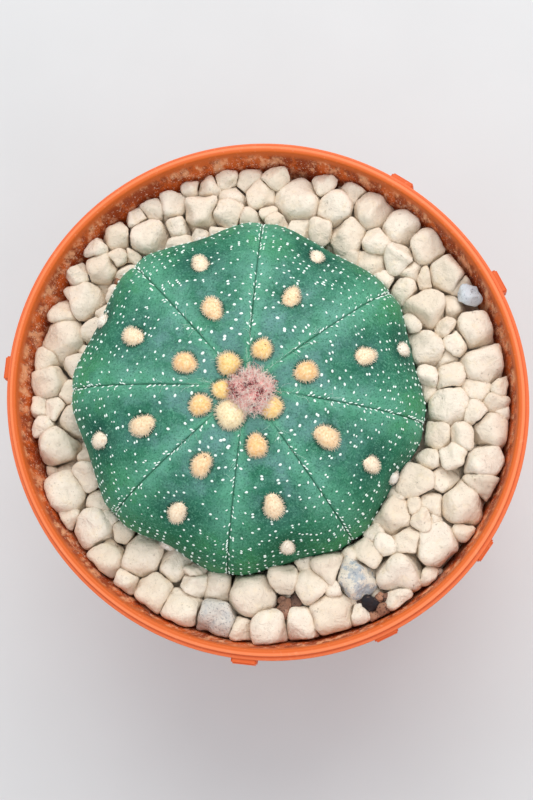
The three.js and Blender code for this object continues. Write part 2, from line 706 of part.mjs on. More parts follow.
// A stone as a faceted solid. grown is how far it lies outside the real one, and sunk how far down
// its root is drawn.
function stoneSolid(stone, stones, grown, sunk) {
  const flats = stoneCell(stone, stones);
  const turn = new THREE.Quaternion().setFromUnitVectors(new THREE.Vector3(1, 0, 0), stone.long);
  const ball = stone.eyeCatching ? new THREE.IcosahedronGeometry(1, 1) : new THREE.OctahedronGeometry(1, 1);
  const geometry = ball.applyQuaternion(turn);
  const position = geometry.attributes.position;
  const direction = new THREE.Vector3();
  for (let corner = 0; corner < position.count; corner++) {
    direction.fromBufferAttribute(position, corner).normalize();
    const reach = stoneReach(stone, flats, direction) + grown;
    const drop = sunk * Math.max(0, -direction.z);
    position.setXYZ(corner, reach * direction.x, reach * direction.y, reach * direction.z - drop);
  }
  return solid(geometry.translate(...stone.middle));
}

// ---- The filling ----

// What the pot can hold between two heights, clear of its wall.
function pottedSlice(low, high) {
  const profile = [
    [0, low],
    [wallInside(low) - GAP, low],
    [wallInside(high) - GAP, high],
    [0, high],
  ];
  return solid(pressedOval(turned(profile, POT_SEGMENTS)));
}

function makeMix(plantRoom) {
  const low = FLOOR_TOP + GAP;
  const corner = low + 2.5;
  const profile = [
    [0, low],
    [wallInside(low) - 2.4, low],
    [wallInside(corner) - GAP, corner],
    [wallInside(MIX_TOP) - GAP, MIX_TOP],
    [0, MIX_TOP],
  ];
  return solid(pressedOval(turned(profile, MIX_SEGMENTS))).subtract(plantRoom);
}

function makePumice(stones, plantRoom, oddRooms) {
  let layer = pottedSlice(MIX_TOP + GAP, BED_TOP);
  for (const stone of stones) {
    if (!stone.name && stone.middle.z > BED_TOP - BURIED * stone.radius) {
      const sunk = Math.max(0, stone.middle.z - stone.radius - (BED_TOP - ROOT_DEPTH));
      layer = layer.add(stoneSolid(stone, stones, 0, sunk));
    }
  }
  layer = layer.intersect(pottedSlice(MIX_TOP + GAP, POT_HEIGHT)).subtract(plantRoom);
  const whole = oddRooms.reduce((left, room) => left.subtract(room), layer);
  return largestBody(whole).simplify(SLIVER);
}

// ---- The whole ----

const plantRoom = solid(surface(cactusBody(GAP)).applyMatrix4(plant.matrix));
const stones = pileStones();
const oddStones = stones.filter((stone) => stone.name);
const oddRooms = oddStones.map((stone) => stoneSolid(stone, stones, GAP, 0));

const group = new THREE.Group();
group.add(makePot());
group.add(node("potting_mix", surface(makeMix(plantRoom)), SKINS.mix));
group.add(node("pumice_layer", surface(makePumice(stones, plantRoom, oddRooms)), SKINS.pumice));
for (const stone of oddStones) {
  const skin = SKINS.pumice.clone();
  skin.color.set(stone.color);
  group.add(node(stone.name, surface(stoneSolid(stone, stones, 0, 0)), skin));
}
plant.add(node("cactus_body", surface(cactusBody(0)), SKINS.cactus));
plant.add(node("flower_bud", surface(makeBud(cactusBody(GAP))), SKINS.bud));
group.add(plant);

export default group;
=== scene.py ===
# %% [markdown]
# # A star cactus in an orange pot
# The real thing is a low, ribbed cactus, about 68 mm across, that sits in a soft plastic pot under a
# layer of cream pumice stones. It is seen from almost straight above.
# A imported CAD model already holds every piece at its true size. This lesson dresses it: each rough solid
# is replaced by a finer piece of the same form, and hairs, flecks and finishes are added, which only a
# picture needs.

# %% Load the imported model
import math

import bmesh
import bpy
import numpy as np
from mathutils import Matrix, Vector, noise


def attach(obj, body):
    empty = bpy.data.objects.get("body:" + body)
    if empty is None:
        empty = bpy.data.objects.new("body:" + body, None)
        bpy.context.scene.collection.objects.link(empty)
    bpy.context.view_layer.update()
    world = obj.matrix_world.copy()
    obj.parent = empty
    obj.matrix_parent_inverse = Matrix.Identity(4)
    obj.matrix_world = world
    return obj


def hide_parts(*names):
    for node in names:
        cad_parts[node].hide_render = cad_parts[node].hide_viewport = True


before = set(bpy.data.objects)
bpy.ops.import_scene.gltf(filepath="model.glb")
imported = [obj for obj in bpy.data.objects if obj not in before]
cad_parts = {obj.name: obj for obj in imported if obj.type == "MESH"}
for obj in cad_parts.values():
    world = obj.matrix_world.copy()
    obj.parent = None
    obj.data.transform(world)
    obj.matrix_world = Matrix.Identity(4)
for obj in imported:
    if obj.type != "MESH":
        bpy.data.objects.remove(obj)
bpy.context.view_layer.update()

print("pieces of the CAD model:", ", ".join(sorted(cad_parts)))

# %% [markdown]
# ## Small helpers
# All sizes are written in millimetres, as the CAD model has them, and turned into metres where a mesh is
# made. A mesh could be edited by hand, but points worked out in arrays keep each form tied to its named
# sizes.

# %% A mesh object from points in millimetres
MM = 0.001


def new_piece(name, points, faces, material=None, edges=()):
    mesh = bpy.data.meshes.new(name)
    mesh.from_pydata((np.asarray(points, float) * MM).tolist(), edges, faces)
    mesh.shade_smooth()
    if material:
        mesh.materials.append(material)
    obj = bpy.data.objects.new(name, mesh)
    bpy.context.scene.collection.objects.link(obj)
    return obj


def store(obj, name, values, kind="FLOAT"):
    attribute = obj.data.attributes.new(name, kind, "POINT")
    field = "vector" if kind == "FLOAT_VECTOR" else "value"
    attribute.data.foreach_set(field, np.asarray(values, np.float32).ravel())


def finish_piece(obj, slot, *nodes):
    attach(obj, "root")
    if nodes:
        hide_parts(*nodes)
    print(f"{obj.name}: {len(obj.data.polygons)} faces")


# %% [markdown]
# ## Writing node trees as sums
# Materials and Geometry Nodes are both graphs of small operations. Dragging noodles is fine for a look,
# but a long formula is easier to read as a formula. `Term` stands for one output socket, and + - * / on
# it add Math nodes.

# %% A socket that takes part in sums
class Term:
    """One output of a node, with which a formula can be written."""

    def __init__(self, graph, socket):
        self.graph = graph
        self.socket = socket

    def math(self, operation, *terms):
        return self.graph.add("ShaderNodeMath", terms, operation=operation)

    def __add__(self, other):
        return self.math("ADD", self, other)

    def __radd__(self, other):
        return self.math("ADD", other, self)

    def __sub__(self, other):
        return self.math("SUBTRACT", self, other)

    def __rsub__(self, other):
        return self.math("SUBTRACT", other, self)

    def __mul__(self, other):
        return self.math("MULTIPLY", self, other)

    def __rmul__(self, other):
        return self.math("MULTIPLY", other, self)

    def __truediv__(self, other):
        return self.math("DIVIDE", self, other)

    def __rtruediv__(self, other):
        return self.math("DIVIDE", other, self)


# %% A graph of nodes, for a material or for geometry
class Graph:
    """A node tree, with one method that adds any node and short forms for those used most."""

    def __init__(self, tree):
        self.tree = tree

    def add(self, kind, inputs=(), output=0, **settings):
        node = self.tree.nodes.new(kind)
        for name, value in settings.items():
            setattr(node, name, value)
        pairs = inputs.items() if isinstance(inputs, dict) else enumerate(inputs)
        for key, value in pairs:
            if isinstance(value, Term):
                self.tree.links.new(value.socket, node.inputs[key])
            else:
                node.inputs[key].default_value = value
        return Term(self, node.outputs[output])

    def mix(self, share, first, second):
        inputs = {0: share, 6: colour_of(first), 7: colour_of(second)}
        return self.add("ShaderNodeMix", inputs, 2, data_type="RGBA")

    def ramp(self, value, stops):
        """Colours between stops, each of which is a position and a colour."""
        term = self.add("ShaderNodeValToRGB", [value])
        elements = term.socket.node.color_ramp.elements
        while len(elements) < len(stops):
            elements.new(0.5)
        for element, (position, colour) in zip(elements, stops):
            element.position = position
            element.color = (*colour, 1)
        return term

    def step(self, value, low, high):
        """0 where the value is below low, 1 above high, and a soft slope between."""
        inputs = {0: value, 1: low, 2: high, 3: 0.0, 4: 1.0}
        return self.add("ShaderNodeMapRange", inputs, interpolation_type="SMOOTHSTEP")

    def grain(self, size, detail=3.0, roughness=0.55, place=None, distortion=0.0):
        """Soft noise, from 0 to 1, whose lumps are about this many millimetres across."""
        inputs = {"Scale": 1 / (size * MM), "Detail": detail, "Roughness": roughness}
        inputs |= {"Distortion": distortion, "Vector": place or self.place()}
        return self.add("ShaderNodeTexNoise", inputs)

    def blotches(self, size, low, high, detail=3.0, roughness=0.55, place=None):
        """Patches where the noise is high: 0 where it is below low, and 1 above high."""
        return self.step(self.grain(size, detail, roughness, place), low, high)

    def cells(self, size, place=None, feature="F1"):
        """Distance to scattered points that are about this many millimetres apart, in cells."""
        inputs = {"Scale": 1 / (size * MM), "Vector": place or self.place()}
        return self.add("ShaderNodeTexVoronoi", inputs, feature=feature)

    def place(self):
        return self.add("ShaderNodeTexCoord", output="Object")

    def drawn_upwards(self, squeeze):
        """Places squeezed in height, so that a pattern read there runs up and down."""
        return self.add("ShaderNodeMapping", {"Vector": self.place(), "Scale": (1.0, 1.0, squeeze)})

    def stored(self, name):
        return self.add("ShaderNodeAttribute", output="Fac", attribute_name=name)


def colour_of(value):
    return value if isinstance(value, Term) else (*value, 1.0)


# %% A finish: one principled shader with coats of colour and layers of relief
class Finish(Graph):
    """A material that is built up from its lowest coat, as paint is."""

    def __init__(self, name, **plain):
        self.material = bpy.data.materials.new(name)
        self.material.use_nodes = True
        super().__init__(self.material.node_tree)
        self.shader = self.tree.nodes["Principled BSDF"]
        self.paint = None
        self.relief = None
        for socket, value in plain.items():
            self.shader.inputs[socket.replace("_", " ")].default_value = value

    def join(self, socket, term):
        """Joins a term to the shader, in the place of any earlier one."""
        self.tree.links.new(term.socket, self.shader.inputs[socket])

    def ground(self, paint):
        self.paint = paint
        self.join("Base Color", paint)

    def coat(self, share, colour):
        """A further colour, which covers this share of what lies under it."""
        self.ground(self.mix(share, self.paint, colour))

    def bump(self, height, depth):
        """A relief of this depth in millimetres, laid over the earlier ones."""
        inputs = {"Strength": 1.0, "Distance": depth * MM, "Height": height}
        if self.relief:
            inputs["Normal"] = self.relief
        self.relief = self.add("ShaderNodeBump", inputs)
        self.join("Normal", self.relief)


print("helpers ready")

# %% [markdown]
# ## The camera
# The camera was close, a little to the right of and below the plant, with its lens about 260 mm from the
# rim. That shows in the inner wall, which is seen widest at the upper left. A camera could be placed by
# eye, but the rim is a circle of known size, so its ellipse in the picture gives the tilt, and its size
# the distance.

# %% Camera at the photograph's place
RIM_TILT = 13.2  # degrees between the view and the pot's axis
VIEW_HEADING = 31.6  # degrees from the picture's lower edge towards its right
RIM_DISTANCE = 260.0
FOCAL_PIXELS = 1383.0
PICTURE = (533, 800)
RIM_MIDDLE_PIXEL = (261.2, 391.6)
RIM_HEIGHT = 84.0
SENSOR = 36

tilt, heading = math.radians(RIM_TILT), math.radians(VIEW_HEADING)
level = math.sin(tilt)
back = Vector((level * math.sin(heading), -level * math.cos(heading), math.cos(tilt)))
up = (Vector((0, 1, 0)) - back.y * back).normalized()
right = up.cross(back)
aside = (RIM_MIDDLE_PIXEL[0] - PICTURE[0] / 2) / FOCAL_PIXELS * RIM_DISTANCE
above = -(RIM_MIDDLE_PIXEL[1] - PICTURE[1] / 2) / FOCAL_PIXELS * RIM_DISTANCE
eye = Vector((0, 0, RIM_HEIGHT)) + back * RIM_DISTANCE - right * aside - up * above

camera_data = bpy.data.cameras.new("camera")
camera_data.sensor_width = SENSOR
camera_data.lens = SENSOR * FOCAL_PIXELS / PICTURE[1]
camera = bpy.data.objects.new("camera", camera_data)
camera.matrix_world = Matrix.Translation(eye * MM) @ Matrix((right, up, back)).transposed().to_4x4()
bpy.context.scene.collection.objects.link(camera)
bpy.context.scene.camera = camera
print(f"lens {camera_data.lens:.1f} mm, {eye.length:.0f} mm from the pot's foot")

# %% [markdown]
# ## Light and floor
# The photograph was taken in soft daylight that falls from beyond the plant, so shadows are short and
# faint. One wide lamp gives that light, a second weaker one fills the far side, and the world gives the
# rest. Places and sizes of lamps are in metres.

# %% Soft studio light
LAMP_AIM = Vector((0, 0, 0.08))
ROOM_COLOUR, ROOM_STRENGTH = (0.92, 0.95, 1.0, 1), 0.91


def soft_lamp(name, place, size, power, colour):
    data = bpy.data.lights.new(name, "AREA")
    data.shape = "DISK"
    data.size = size
    data.energy = power
    data.color = colour
    lamp = bpy.data.objects.new(name, data)
    lamp.location = place
    lamp.rotation_euler = (LAMP_AIM - Vector(place)).to_track_quat("-Z", "Y").to_euler()
    bpy.context.scene.collection.objects.link(lamp)


soft_lamp("window_light", (0.10, 0.50, 0.80), 0.75, 5.0, (1.0, 0.985, 0.96))
soft_lamp("fill_light", (0.55, -0.45, 0.7), 0.9, 1.6, (0.96, 0.98, 1.0))
world = bpy.data.worlds.new("soft_room")
world.use_nodes = True
room = world.node_tree.nodes["Background"].inputs
room["Color"].default_value = ROOM_COLOUR
room["Strength"].default_value = ROOM_STRENGTH
bpy.context.scene.world = world
# A finish is seen in the colour given to it.
bpy.context.scene.view_settings.view_transform = "Standard"
print("two lamps and a soft room")

# %% Pale floor
FLOOR_SIDE = 1400.0
PALE_GREY, PALER_GREY = (0.58, 0.58, 0.575), (0.63, 0.63, 0.625)

floor_finish = Finish("pale_floor", Roughness=0.85)
floor_finish.ground(floor_finish.mix(floor_finish.grain(40.0), PALE_GREY, PALER_GREY))
corners = [(x * FLOOR_SIDE, y * FLOOR_SIDE, 0) for x, y in ((-1, -1), (1, -1), (1, 1), (-1, 1))]
floor = new_piece("floor", corners, [(0, 1, 2, 3)], floor_finish.material)

# %% [markdown]
# ## The pot
# A grower's pot is one thin moulding. Its profile is turned: foot ring, tapering wall, a thicker collar,
# and a rim whose flat top stands a little above a narrow outer ledge. Blender's Screw modifier would turn
# it too, but the real pot isn't quite round: the weight of stones and a hand's grip have pressed its soft
# mouth 2% oval, and points in an array are easily pressed as well.

# %% Sizes of the pot
POT_HEIGHT = RIM_HEIGHT
RIM_RADIUS = 49.7
WALL = 1.0
BASE_RADIUS = 34.4
TAPER = 0.17
FLOOR_UNDERSIDE, FLOOR_TOP = 2.0, 3.2
FOOT_INNER_RADIUS, FOOT_OUTER_RADIUS = 31.4, 34.0
COLLAR_HEIGHT, COLLAR_DRAFT = 10.0, 0.8
RIM_BAND, LEDGE_DROP = 1.25, 0.7
RIM_PRESS, RIM_LONG_HEADING = 0.02, -47.0
EDGE_ROUNDING = 0.28  # how far each moulded edge is rounded
POT_SEGMENTS = 240
DRAIN_HOLES, DRAIN_RADIUS, DRAIN_CIRCLE = 6, 3.5, 21.0
DRILL_SIDES, DRILL_LENGTH = 40, 10
FOOT_NOTCHES, FOOT_NOTCH_WIDTH, FOOT_NOTCH_HEIGHT = 4, 5.0, 1.2
# Heading of each lug, and how far it reaches beyond the rim.
LUGS = ((25, 0.9), (56, 0.9), (174, 0.9), (265, 0.9), (296, 0.5), (324, 0.5))
LUG_LENGTH, LUG_ROOT, LUG_TOP, LUG_HEIGHT, LUG_ROUNDING = 4.7, 1.2, 82.9, 3.0, 0.3
CLEANING = 0.004  # slivers that a boolean leaves are narrower than this
SHARP_ANGLE = 32


def wall_outside(height):
    return BASE_RADIUS + TAPER * height


def wall_inside(height):
    return wall_outside(height) - WALL


def press(points, direction=1):
    """Points of the round pot where the press takes them, or back again with a direction of -1."""
    points = np.array(points, float)
    turn = math.radians(RIM_LONG_HEADING)
    along = points[..., 0] * math.cos(turn) + points[..., 1] * math.sin(turn)
    across = points[..., 1] * math.cos(turn) - points[..., 0] * math.sin(turn)
    share = direction * RIM_PRESS * points[..., 2] / POT_HEIGHT
    along, across = along * (1 + share), across * (1 - share)
    points[..., 0] = along * math.cos(turn) - across * math.sin(turn)
    points[..., 1] = along * math.sin(turn) + across * math.cos(turn)
    return points


# %% Turn the profile
def rounded(profile, radius, steps=4):
    """A profile whose corners are small curves."""
    points = [np.array(profile[0], float)]
    for before, corner, after in zip(profile, profile[1:], profile[2:]):
        before, corner, after = (np.array(point, float) for point in (before, corner, after))
        cuts = []
        for other in (before, after):
            length = np.linalg.norm(other - corner)
            cuts.append(corner + (other - corner) * min(radius, 0.45 * length) / length)
        for share in np.linspace(0, 1, steps):
            bend = 2 * share * (1 - share) * corner
            points.append((1 - share) ** 2 * cuts[0] + bend + share**2 * cuts[1])
    return [*points, np.array(profile[-1], float)]


def turned(profile, segments):
    """Points and faces of a closed profile turned round the axis, both ends of which lie on the axis."""
    angles = 2 * np.pi * np.arange(segments) / segments
    east, north = np.cos(angles), np.sin(angles)
    rings = [np.stack([r * east, r * north, np.full(segments, z)], 1) for r, z in profile[1:-1]]
    points = np.concatenate([[[0, 0, profile[0][1]]], *rings, [[0, 0, profile[-1][1]]]])
    faces = []
    for column in range(segments):
        beside = (column + 1) % segments
        faces.append((0, 1 + beside, 1 + column))
        for ring in range(len(rings) - 1):
            low, high = 1 + ring * segments, 1 + (ring + 1) * segments
            faces.append((low + column, low + beside, high + beside, high + column))
        last = 1 + (len(rings) - 1) * segments
        faces.append((last + column, last + beside, len(points) - 1))
    return points, faces


collar_foot = POT_HEIGHT - COLLAR_HEIGHT
ledge = POT_HEIGHT - LEDGE_DROP
mouth = wall_inside(POT_HEIGHT)
band = mouth + RIM_BAND
pot_profile = [
    (0, FLOOR_UNDERSIDE),
    (FOOT_INNER_RADIUS - 0.5, FLOOR_UNDERSIDE),
    (FOOT_INNER_RADIUS, 0),
    (FOOT_OUTER_RADIUS, 0),
    (wall_outside(1), 1),
    (wall_outside(collar_foot), collar_foot),
    (RIM_RADIUS - COLLAR_DRAFT - 0.3, collar_foot),
    (RIM_RADIUS - COLLAR_DRAFT, collar_foot + 0.4),
    (RIM_RADIUS, ledge - 0.3),
    (RIM_RADIUS - 0.1, ledge),
    (band + 0.12, ledge - 0.05),
    (band, ledge - 0.12),
    (band - 0.02, POT_HEIGHT - 0.1),
    (band - 0.2, POT_HEIGHT),
    (mouth + 0.2, POT_HEIGHT),
    (mouth - 0.05, POT_HEIGHT - 0.25),
    (wall_inside(FLOOR_TOP + 2), FLOOR_TOP + 2),
    (wall_inside(FLOOR_TOP) - 1.6, FLOOR_TOP),
    (0, FLOOR_TOP),
]
pot_points, pot_faces = turned(rounded(pot_profile, EDGE_ROUNDING), POT_SEGMENTS)
print(len(pot_points), "points on the turned pot")

# %% [markdown]
# The lugs are small blocks moulded onto the collar, which keep stacked pots from sticking. Holes in the
# floor let water out, and notches in the foot ring let it run away. A boolean joins or cuts them as the
# mould did.

# %% Shapes to join and to cut with
def block(size, turn, middle, rounding=0.0):
    """A box in a mesh of its own, turned about the pot's axis, with its edges rounded."""
    solid = bmesh.new()
    bmesh.ops.create_cube(solid, size=1)
    bmesh.ops.scale(solid, vec=Vector(size) * MM, verts=solid.verts)
    if rounding:
        bmesh.ops.bevel(solid, geom=solid.edges, offset=rounding * MM, segments=3, affect="EDGES")
    place = Matrix.Rotation(turn, 4, "Z") @ Matrix.Translation(Vector(middle) * MM)
    bmesh.ops.transform(solid, matrix=place, verts=solid.verts)
    return solid


def lug(angle, reach):
    size = (reach + LUG_ROOT, LUG_LENGTH, LUG_HEIGHT)
    middle = (RIM_RADIUS + (reach - LUG_ROOT) / 2, 0, LUG_TOP - LUG_HEIGHT / 2)
    return block(size, math.radians(angle), middle, LUG_ROUNDING)


def notch(number):
    """A bar across the whole pot, which cuts the foot ring twice."""
    size = (3 * RIM_RADIUS, FOOT_NOTCH_WIDTH, 2 * FOOT_NOTCH_HEIGHT)
    return block(size, math.pi * number / FOOT_NOTCHES, (0, 0, 0))


def drill(turn, out):
    """A cylinder as wide as a drain hole."""
    solid = bmesh.new()
    radius = DRAIN_RADIUS * MM
    sizes = {"radius1": radius, "radius2": radius, "depth": DRILL_LENGTH * MM}
    bmesh.ops.create_cone(solid, cap_ends=True, segments=DRILL_SIDES, **sizes)
    shift = Vector((out * math.cos(turn), out * math.sin(turn), FLOOR_TOP)) * MM
    bmesh.ops.translate(solid, vec=shift, verts=solid.verts)
    return solid


def gathered(name, solids):
    """Several small meshes as one object."""
    whole = bmesh.new()
    for solid in solids:
        part = bpy.data.meshes.new(name)
        solid.to_mesh(part)
        solid.free()
        whole.from_mesh(part)
        bpy.data.meshes.remove(part)
    mesh = bpy.data.meshes.new(name)
    whole.to_mesh(mesh)
    whole.free()
    obj = bpy.data.objects.new(name, mesh)
    bpy.context.scene.collection.objects.link(obj)
    return obj


# %% Join the lugs, cut the holes and notches
def plainly(obj):
    """The object with its modifiers worked into a plain mesh."""
    evaluated = obj.evaluated_get(bpy.context.evaluated_depsgraph_get())
    mesh = bpy.data.meshes.new_from_object(evaluated)
    obj.modifiers.clear()
    obj.data = mesh
    return obj


def combine(obj, operation, tool):
    modifier = obj.modifiers.new(operation, "BOOLEAN")
    modifier.operation = operation
    modifier.solver = "EXACT"
    modifier.object = tool
    plainly(obj)
    bpy.data.objects.remove(tool)


pot = new_piece("pot_shell", pot_points, pot_faces)
combine(pot, "UNION", gathered("lugs", [lug(angle, reach) for angle, reach in LUGS]))
for number in range(FOOT_NOTCHES):
    combine(pot, "DIFFERENCE", gathered("notch", [notch(number)]))
drills = [drill(2 * math.pi * hole / DRAIN_HOLES, DRAIN_CIRCLE) for hole in range(DRAIN_HOLES)]
combine(pot, "DIFFERENCE", gathered("drills", [*drills, drill(0, 0)]))
cleaned = bmesh.new()
cleaned.from_mesh(pot.data)
bmesh.ops.remove_doubles(cleaned, verts=cleaned.verts, dist=CLEANING * MM)
bmesh.ops.dissolve_degenerate(cleaned, edges=cleaned.edges, dist=CLEANING * MM)
cleaned.to_mesh(pot.data)
cleaned.free()
print(len(pot.data.polygons), "faces after joining and cutting")

# %% Press it oval and mark its inner wall
points = np.array([vertex.co for vertex in pot.data.vertices]) / MM
inside = np.hypot(points[:, 0], points[:, 1]) < wall_outside(points[:, 2]) - 0.5 * WALL
store(pot, "inner_wall", inside & (points[:, 2] > FLOOR_UNDERSIDE + 0.5))
pot.data.vertices.foreach_set("co", (press(points) * MM).ravel())
pot.data.shade_smooth()
pot.data.set_sharp_from_angle(angle=math.radians(SHARP_ANGLE))
print(f"mouth {2 * RIM_RADIUS * (1 + RIM_PRESS):.1f} by {2 * RIM_RADIUS * (1 - RIM_PRESS):.1f} mm")

# %% [markdown]
# The plastic is a satin, slightly chalky orange. Years of watering left stains and a pale crust inside,
# above the stones, and handling left fine scuffs. All are patterns in the material: noise, limited by the
# height and by the mark that tells the inner wall.

# %% Colours of the plastic
DARK_ORANGE, ORANGE = (0.59, 0.084, 0.014), (0.68, 0.112, 0.022)
# The rim's lighter orange is a painted highlight on its top.
RIM_TOP_HIGHLIGHT, INNER_ORANGE = (0.80, 0.205, 0.075), (0.62, 0.120, 0.018)
WATER_STAIN, PALE_CRUST, SALT_SPECK = (0.27, 0.036, 0.007), (0.92, 0.45, 0.24), (0.93, 0.76, 0.62)
FOOT_BROWN, RUBBED_ORANGE, FINE_DUST = (0.33, 0.12, 0.05), (0.88, 0.42, 0.25), (0.92, 0.62, 0.42)

# %% Plastic of the pot
plastic = Finish("pot_plastic", Roughness=0.42, Specular_IOR_Level=0.2)
height = plastic.add("ShaderNodeSeparateXYZ", [plastic.place()], output=2) / MM
inner = plastic.stored("inner_wall")
outer = 1 - inner
under_rim = inner * (1 - plastic.step(height, 81.6, 83.3))
low_on_wall = 1 - plastic.step(height, 79.5, 82.8)
runs = plastic.drawn_upwards(0.45)
cloud = plastic.grain(9.0, 4.0)
stain = under_rim * plastic.blotches(3.2, 0.42, 0.54, 6.0, 0.7, runs)
crust = under_rim * plastic.blotches(2.3, 0.48, 0.62, 6.0, 0.68, runs)
specks = under_rim * plastic.step(plastic.grain(0.42, 2.0, 0.7) + 0.06 * low_on_wall, 0.66, 0.73)
# The outer wall turns darker towards its foot.
darker_near_foot = outer * (1 - plastic.step(height + 8.0 * (cloud - 0.5), 2.0, 14.0))
rubbed = outer * plastic.blotches(1.6, 0.56, 0.72, 5.0, 0.7, plastic.drawn_upwards(0.12))
plastic.ground(plastic.mix(cloud, DARK_ORANGE, ORANGE))
# Painted highlight: the top of the rim is a lighter orange.
plastic.coat(plastic.step(height, 82.6, 83.9) * outer, RIM_TOP_HIGHLIGHT)
plastic.coat(inner * 0.8, INNER_ORANGE)
plastic.coat(stain * 0.85, WATER_STAIN)
plastic.coat(crust * 0.75, PALE_CRUST)
plastic.coat(specks * 0.8, SALT_SPECK)
# Darker towards the foot of the outer wall.
plastic.coat(darker_near_foot * 0.3, FOOT_BROWN)
plastic.coat(rubbed * plastic.step(cloud, 0.45, 0.6) * 0.22, RUBBED_ORANGE)
plastic.coat(plastic.blotches(0.55, 0.60, 0.75, 2.0, 0.6) * 0.10, FINE_DUST)
plastic.join("Roughness", 0.36 + 0.16 * cloud + 0.25 * crust)
plastic.bump(plastic.grain(2.2, 3.0), 0.05)
plastic.bump(plastic.grain(0.35, 2.0, 0.6, plastic.drawn_upwards(0.08)), 0.02)
pot.data.materials.append(plastic.material)
finish_piece(pot, "pot_plastic", "pot")

# %% [markdown]
# ## The potting mix
# Under the stones the pot is full of dark, crumbly mix. It shows only through the drain holes, so the CAD
# solid stays, and gets a material with crumbs of several sizes.

# %% Crumbly mix
DAMP_BARK, DRY_BARK, STRAW = (0.030, 0.018, 0.011), (0.095, 0.060, 0.038), (0.32, 0.25, 0.17)

soil = Finish("potting_mix", Roughness=0.95)
soil.ground(soil.mix(soil.grain(2.5, 4.0), DAMP_BARK, DRY_BARK))
soil.coat(soil.blotches(0.9, 0.63, 0.70, 2.0), STRAW)
soil.bump(soil.cells(1.6) + 0.5 * soil.grain(0.6, 3.0), 0.9)
mix_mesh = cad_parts["potting_mix"].data
mix_mesh.materials.clear()
mix_mesh.materials.append(soil.material)
print("mix dressed")

# %% [markdown]
# ## Where the stones lie
# Loose stones settle: each rests on others, leans on the wall or the plant, and small ones fill the gaps.
# A rigid-body simulation would do that, but a simple rule is steadier and gives the same pile every time.
# The stones that catch the eye are listed, others are strewn between them and pushed apart until they
# only touch, and the rest are dropped into what room is left below. It is the same rule, with the same
# draws, as in the CAD model.

# %% Sizes of the filling
MIX_TOP = 64.0
LARGE_TOP = 80.4
STONE_LEAST_RADIUS, STONE_MOST_RADIUS, STONE_SKEW = 1.8, 3.7, 1.2
STRETCH = 0.35  # how far a strewn stone may be drawn out
TOP_STONES, TOP_STONE_DEPTH, SETTLING_ROUNDS = 82, 1.6, 60
STONE_FLOOR, STONE_TRIES, PLACES_TRIED, STONE_LEVEL = 69.0, 260, 36, 78.6
STONE_SEED, NESTLE, FACETS = 4, 0.86, 6
OVERLAP = 0.2  # how far a stone's flat may reach past its share of the room between two stones
EDGE_HARDNESS = 13
WALL_GAP = 0.3

# Place of the middle, radius, how far drawn out, and heading of the long axis.
LARGE_STONES = [
    (5.5, 39.5, 5.2, 1.1, 100), (14, 37.5, 3.9, 1.25, 5), (21.5, 37, 4.0, 1.25, 175),
    (27.5, 34.5, 3.9, 1.1, 45), (31, 29, 3.4, 1.5, 0), (26, 27.5, 3.3, 1.1, 60),
    (17, 31.5, 3.6, 1.2, 110), (21.5, 30.5, 2.8, 1.2, 20), (36, 23.5, 4.0, 1.5, 105),
    (32, 17.5, 4.5, 1.3, 5), (40, 12.5, 4.0, 1.2, 140), (31, 8.5, 3.9, 1.1, 40),
    (43, 5, 4.8, 1.2, 100), (35.5, -2.5, 4.6, 1.35, 125), (42.5, -7.5, 3.6, 1.15, 20),
    (42.5, -13.5, 4.0, 1.2, 0), (37, -21, 4.3, 1.15, 60), (32, -28.5, 4.1, 1.3, 170),
    (23.5, -22.5, 3.7, 1.7, 100), (25.5, -33.5, 4.3, 1.2, 110), (12.5, -42, 4.3, 1.15, 10),
    (9, -36.5, 3.4, 1.5, 75), (-2, -38, 5.0, 1.25, 5), (-2, -44.5, 3.3, 1.1, 0),
    (-16.5, -41, 3.9, 1.25, 5), (-23, -39, 3.7, 1.1, 150), (-24, -33, 4.2, 1.4, 160),
    (-31.5, -31.5, 3.5, 1.1, 130), (-33, -25, 4.0, 1.1, 0), (-39.5, -18, 4.3, 1.15, 120),
    (-41, -8.5, 4.2, 1.2, 100), (-42.5, 4, 3.9, 1.35, 5), (-36.5, 7, 2.8, 1.2, 80),
    (-39.5, 12.5, 5.0, 1.3, 65), (-34, 14, 2.9, 1.2, 70), (-36, 20.5, 3.9, 1.35, 0),
    (-32.5, 27, 3.3, 1.15, 0), (-23.5, 33, 4.7, 1.2, 160), (-12.5, 38, 3.8, 1.6, 95),
    (-7.5, 37, 3.1, 1.15, 90), (-0.5, 40.5, 3.3, 1.6, 85),
]
ODD_STONES = [
    ("blue_grey_stone", 16.5, -34.5, 3.8, 1.5, 70),
    ("pale_grey_stone", -9.5, -42, 4.0, 1.05, 40),
    ("small_grey_stone", 39.5, 19, 1.9, 1.3, 70),
]

# %% The plant's place and outline, which the stones lean on
PLANT_PLACE = np.array([-2.9, -0.3, 80.0])
PLANT_LEAN, PLANT_LEAN_HEADING = 7.0, -35.0
BODY_RADIUS, DOME_HEIGHT, DOME_FULLNESS = 34.3, 17.5, 2.25
CROWN_SINK, CROWN_SINK_RADIUS = 1.1, 5.0
UNDERSIDE_DEPTH = 19.0
ROOT_RADIUS, ROOT_LENGTH, ROOT_TIP_SHARE = 7.0, 28.0, 0.25
FURROW_ANGLES = np.array([35.8, 84.8, 131, 177.9, 221.4, 263.1, 305.3, 350.4])
RIB_WIDTHS = np.diff([*FURROW_ANGLES, FURROW_ANGLES[0] + 360])
RIB_HOLLOW, RIB_HOLLOW_POWER = 2.1, 1.4

lean_heading = math.radians(PLANT_LEAN_HEADING)
lean_axis = Vector((0, 0, 1)).cross(Vector((math.cos(lean_heading), math.sin(lean_heading), 0)))
PLANT_TURN = np.array(Matrix.Rotation(math.radians(PLANT_LEAN), 3, lean_axis))


def on_plant(points):
    """Points of the upright plant where the leaning plant has them."""
    return np.asarray(points) @ PLANT_TURN.T + PLANT_PLACE


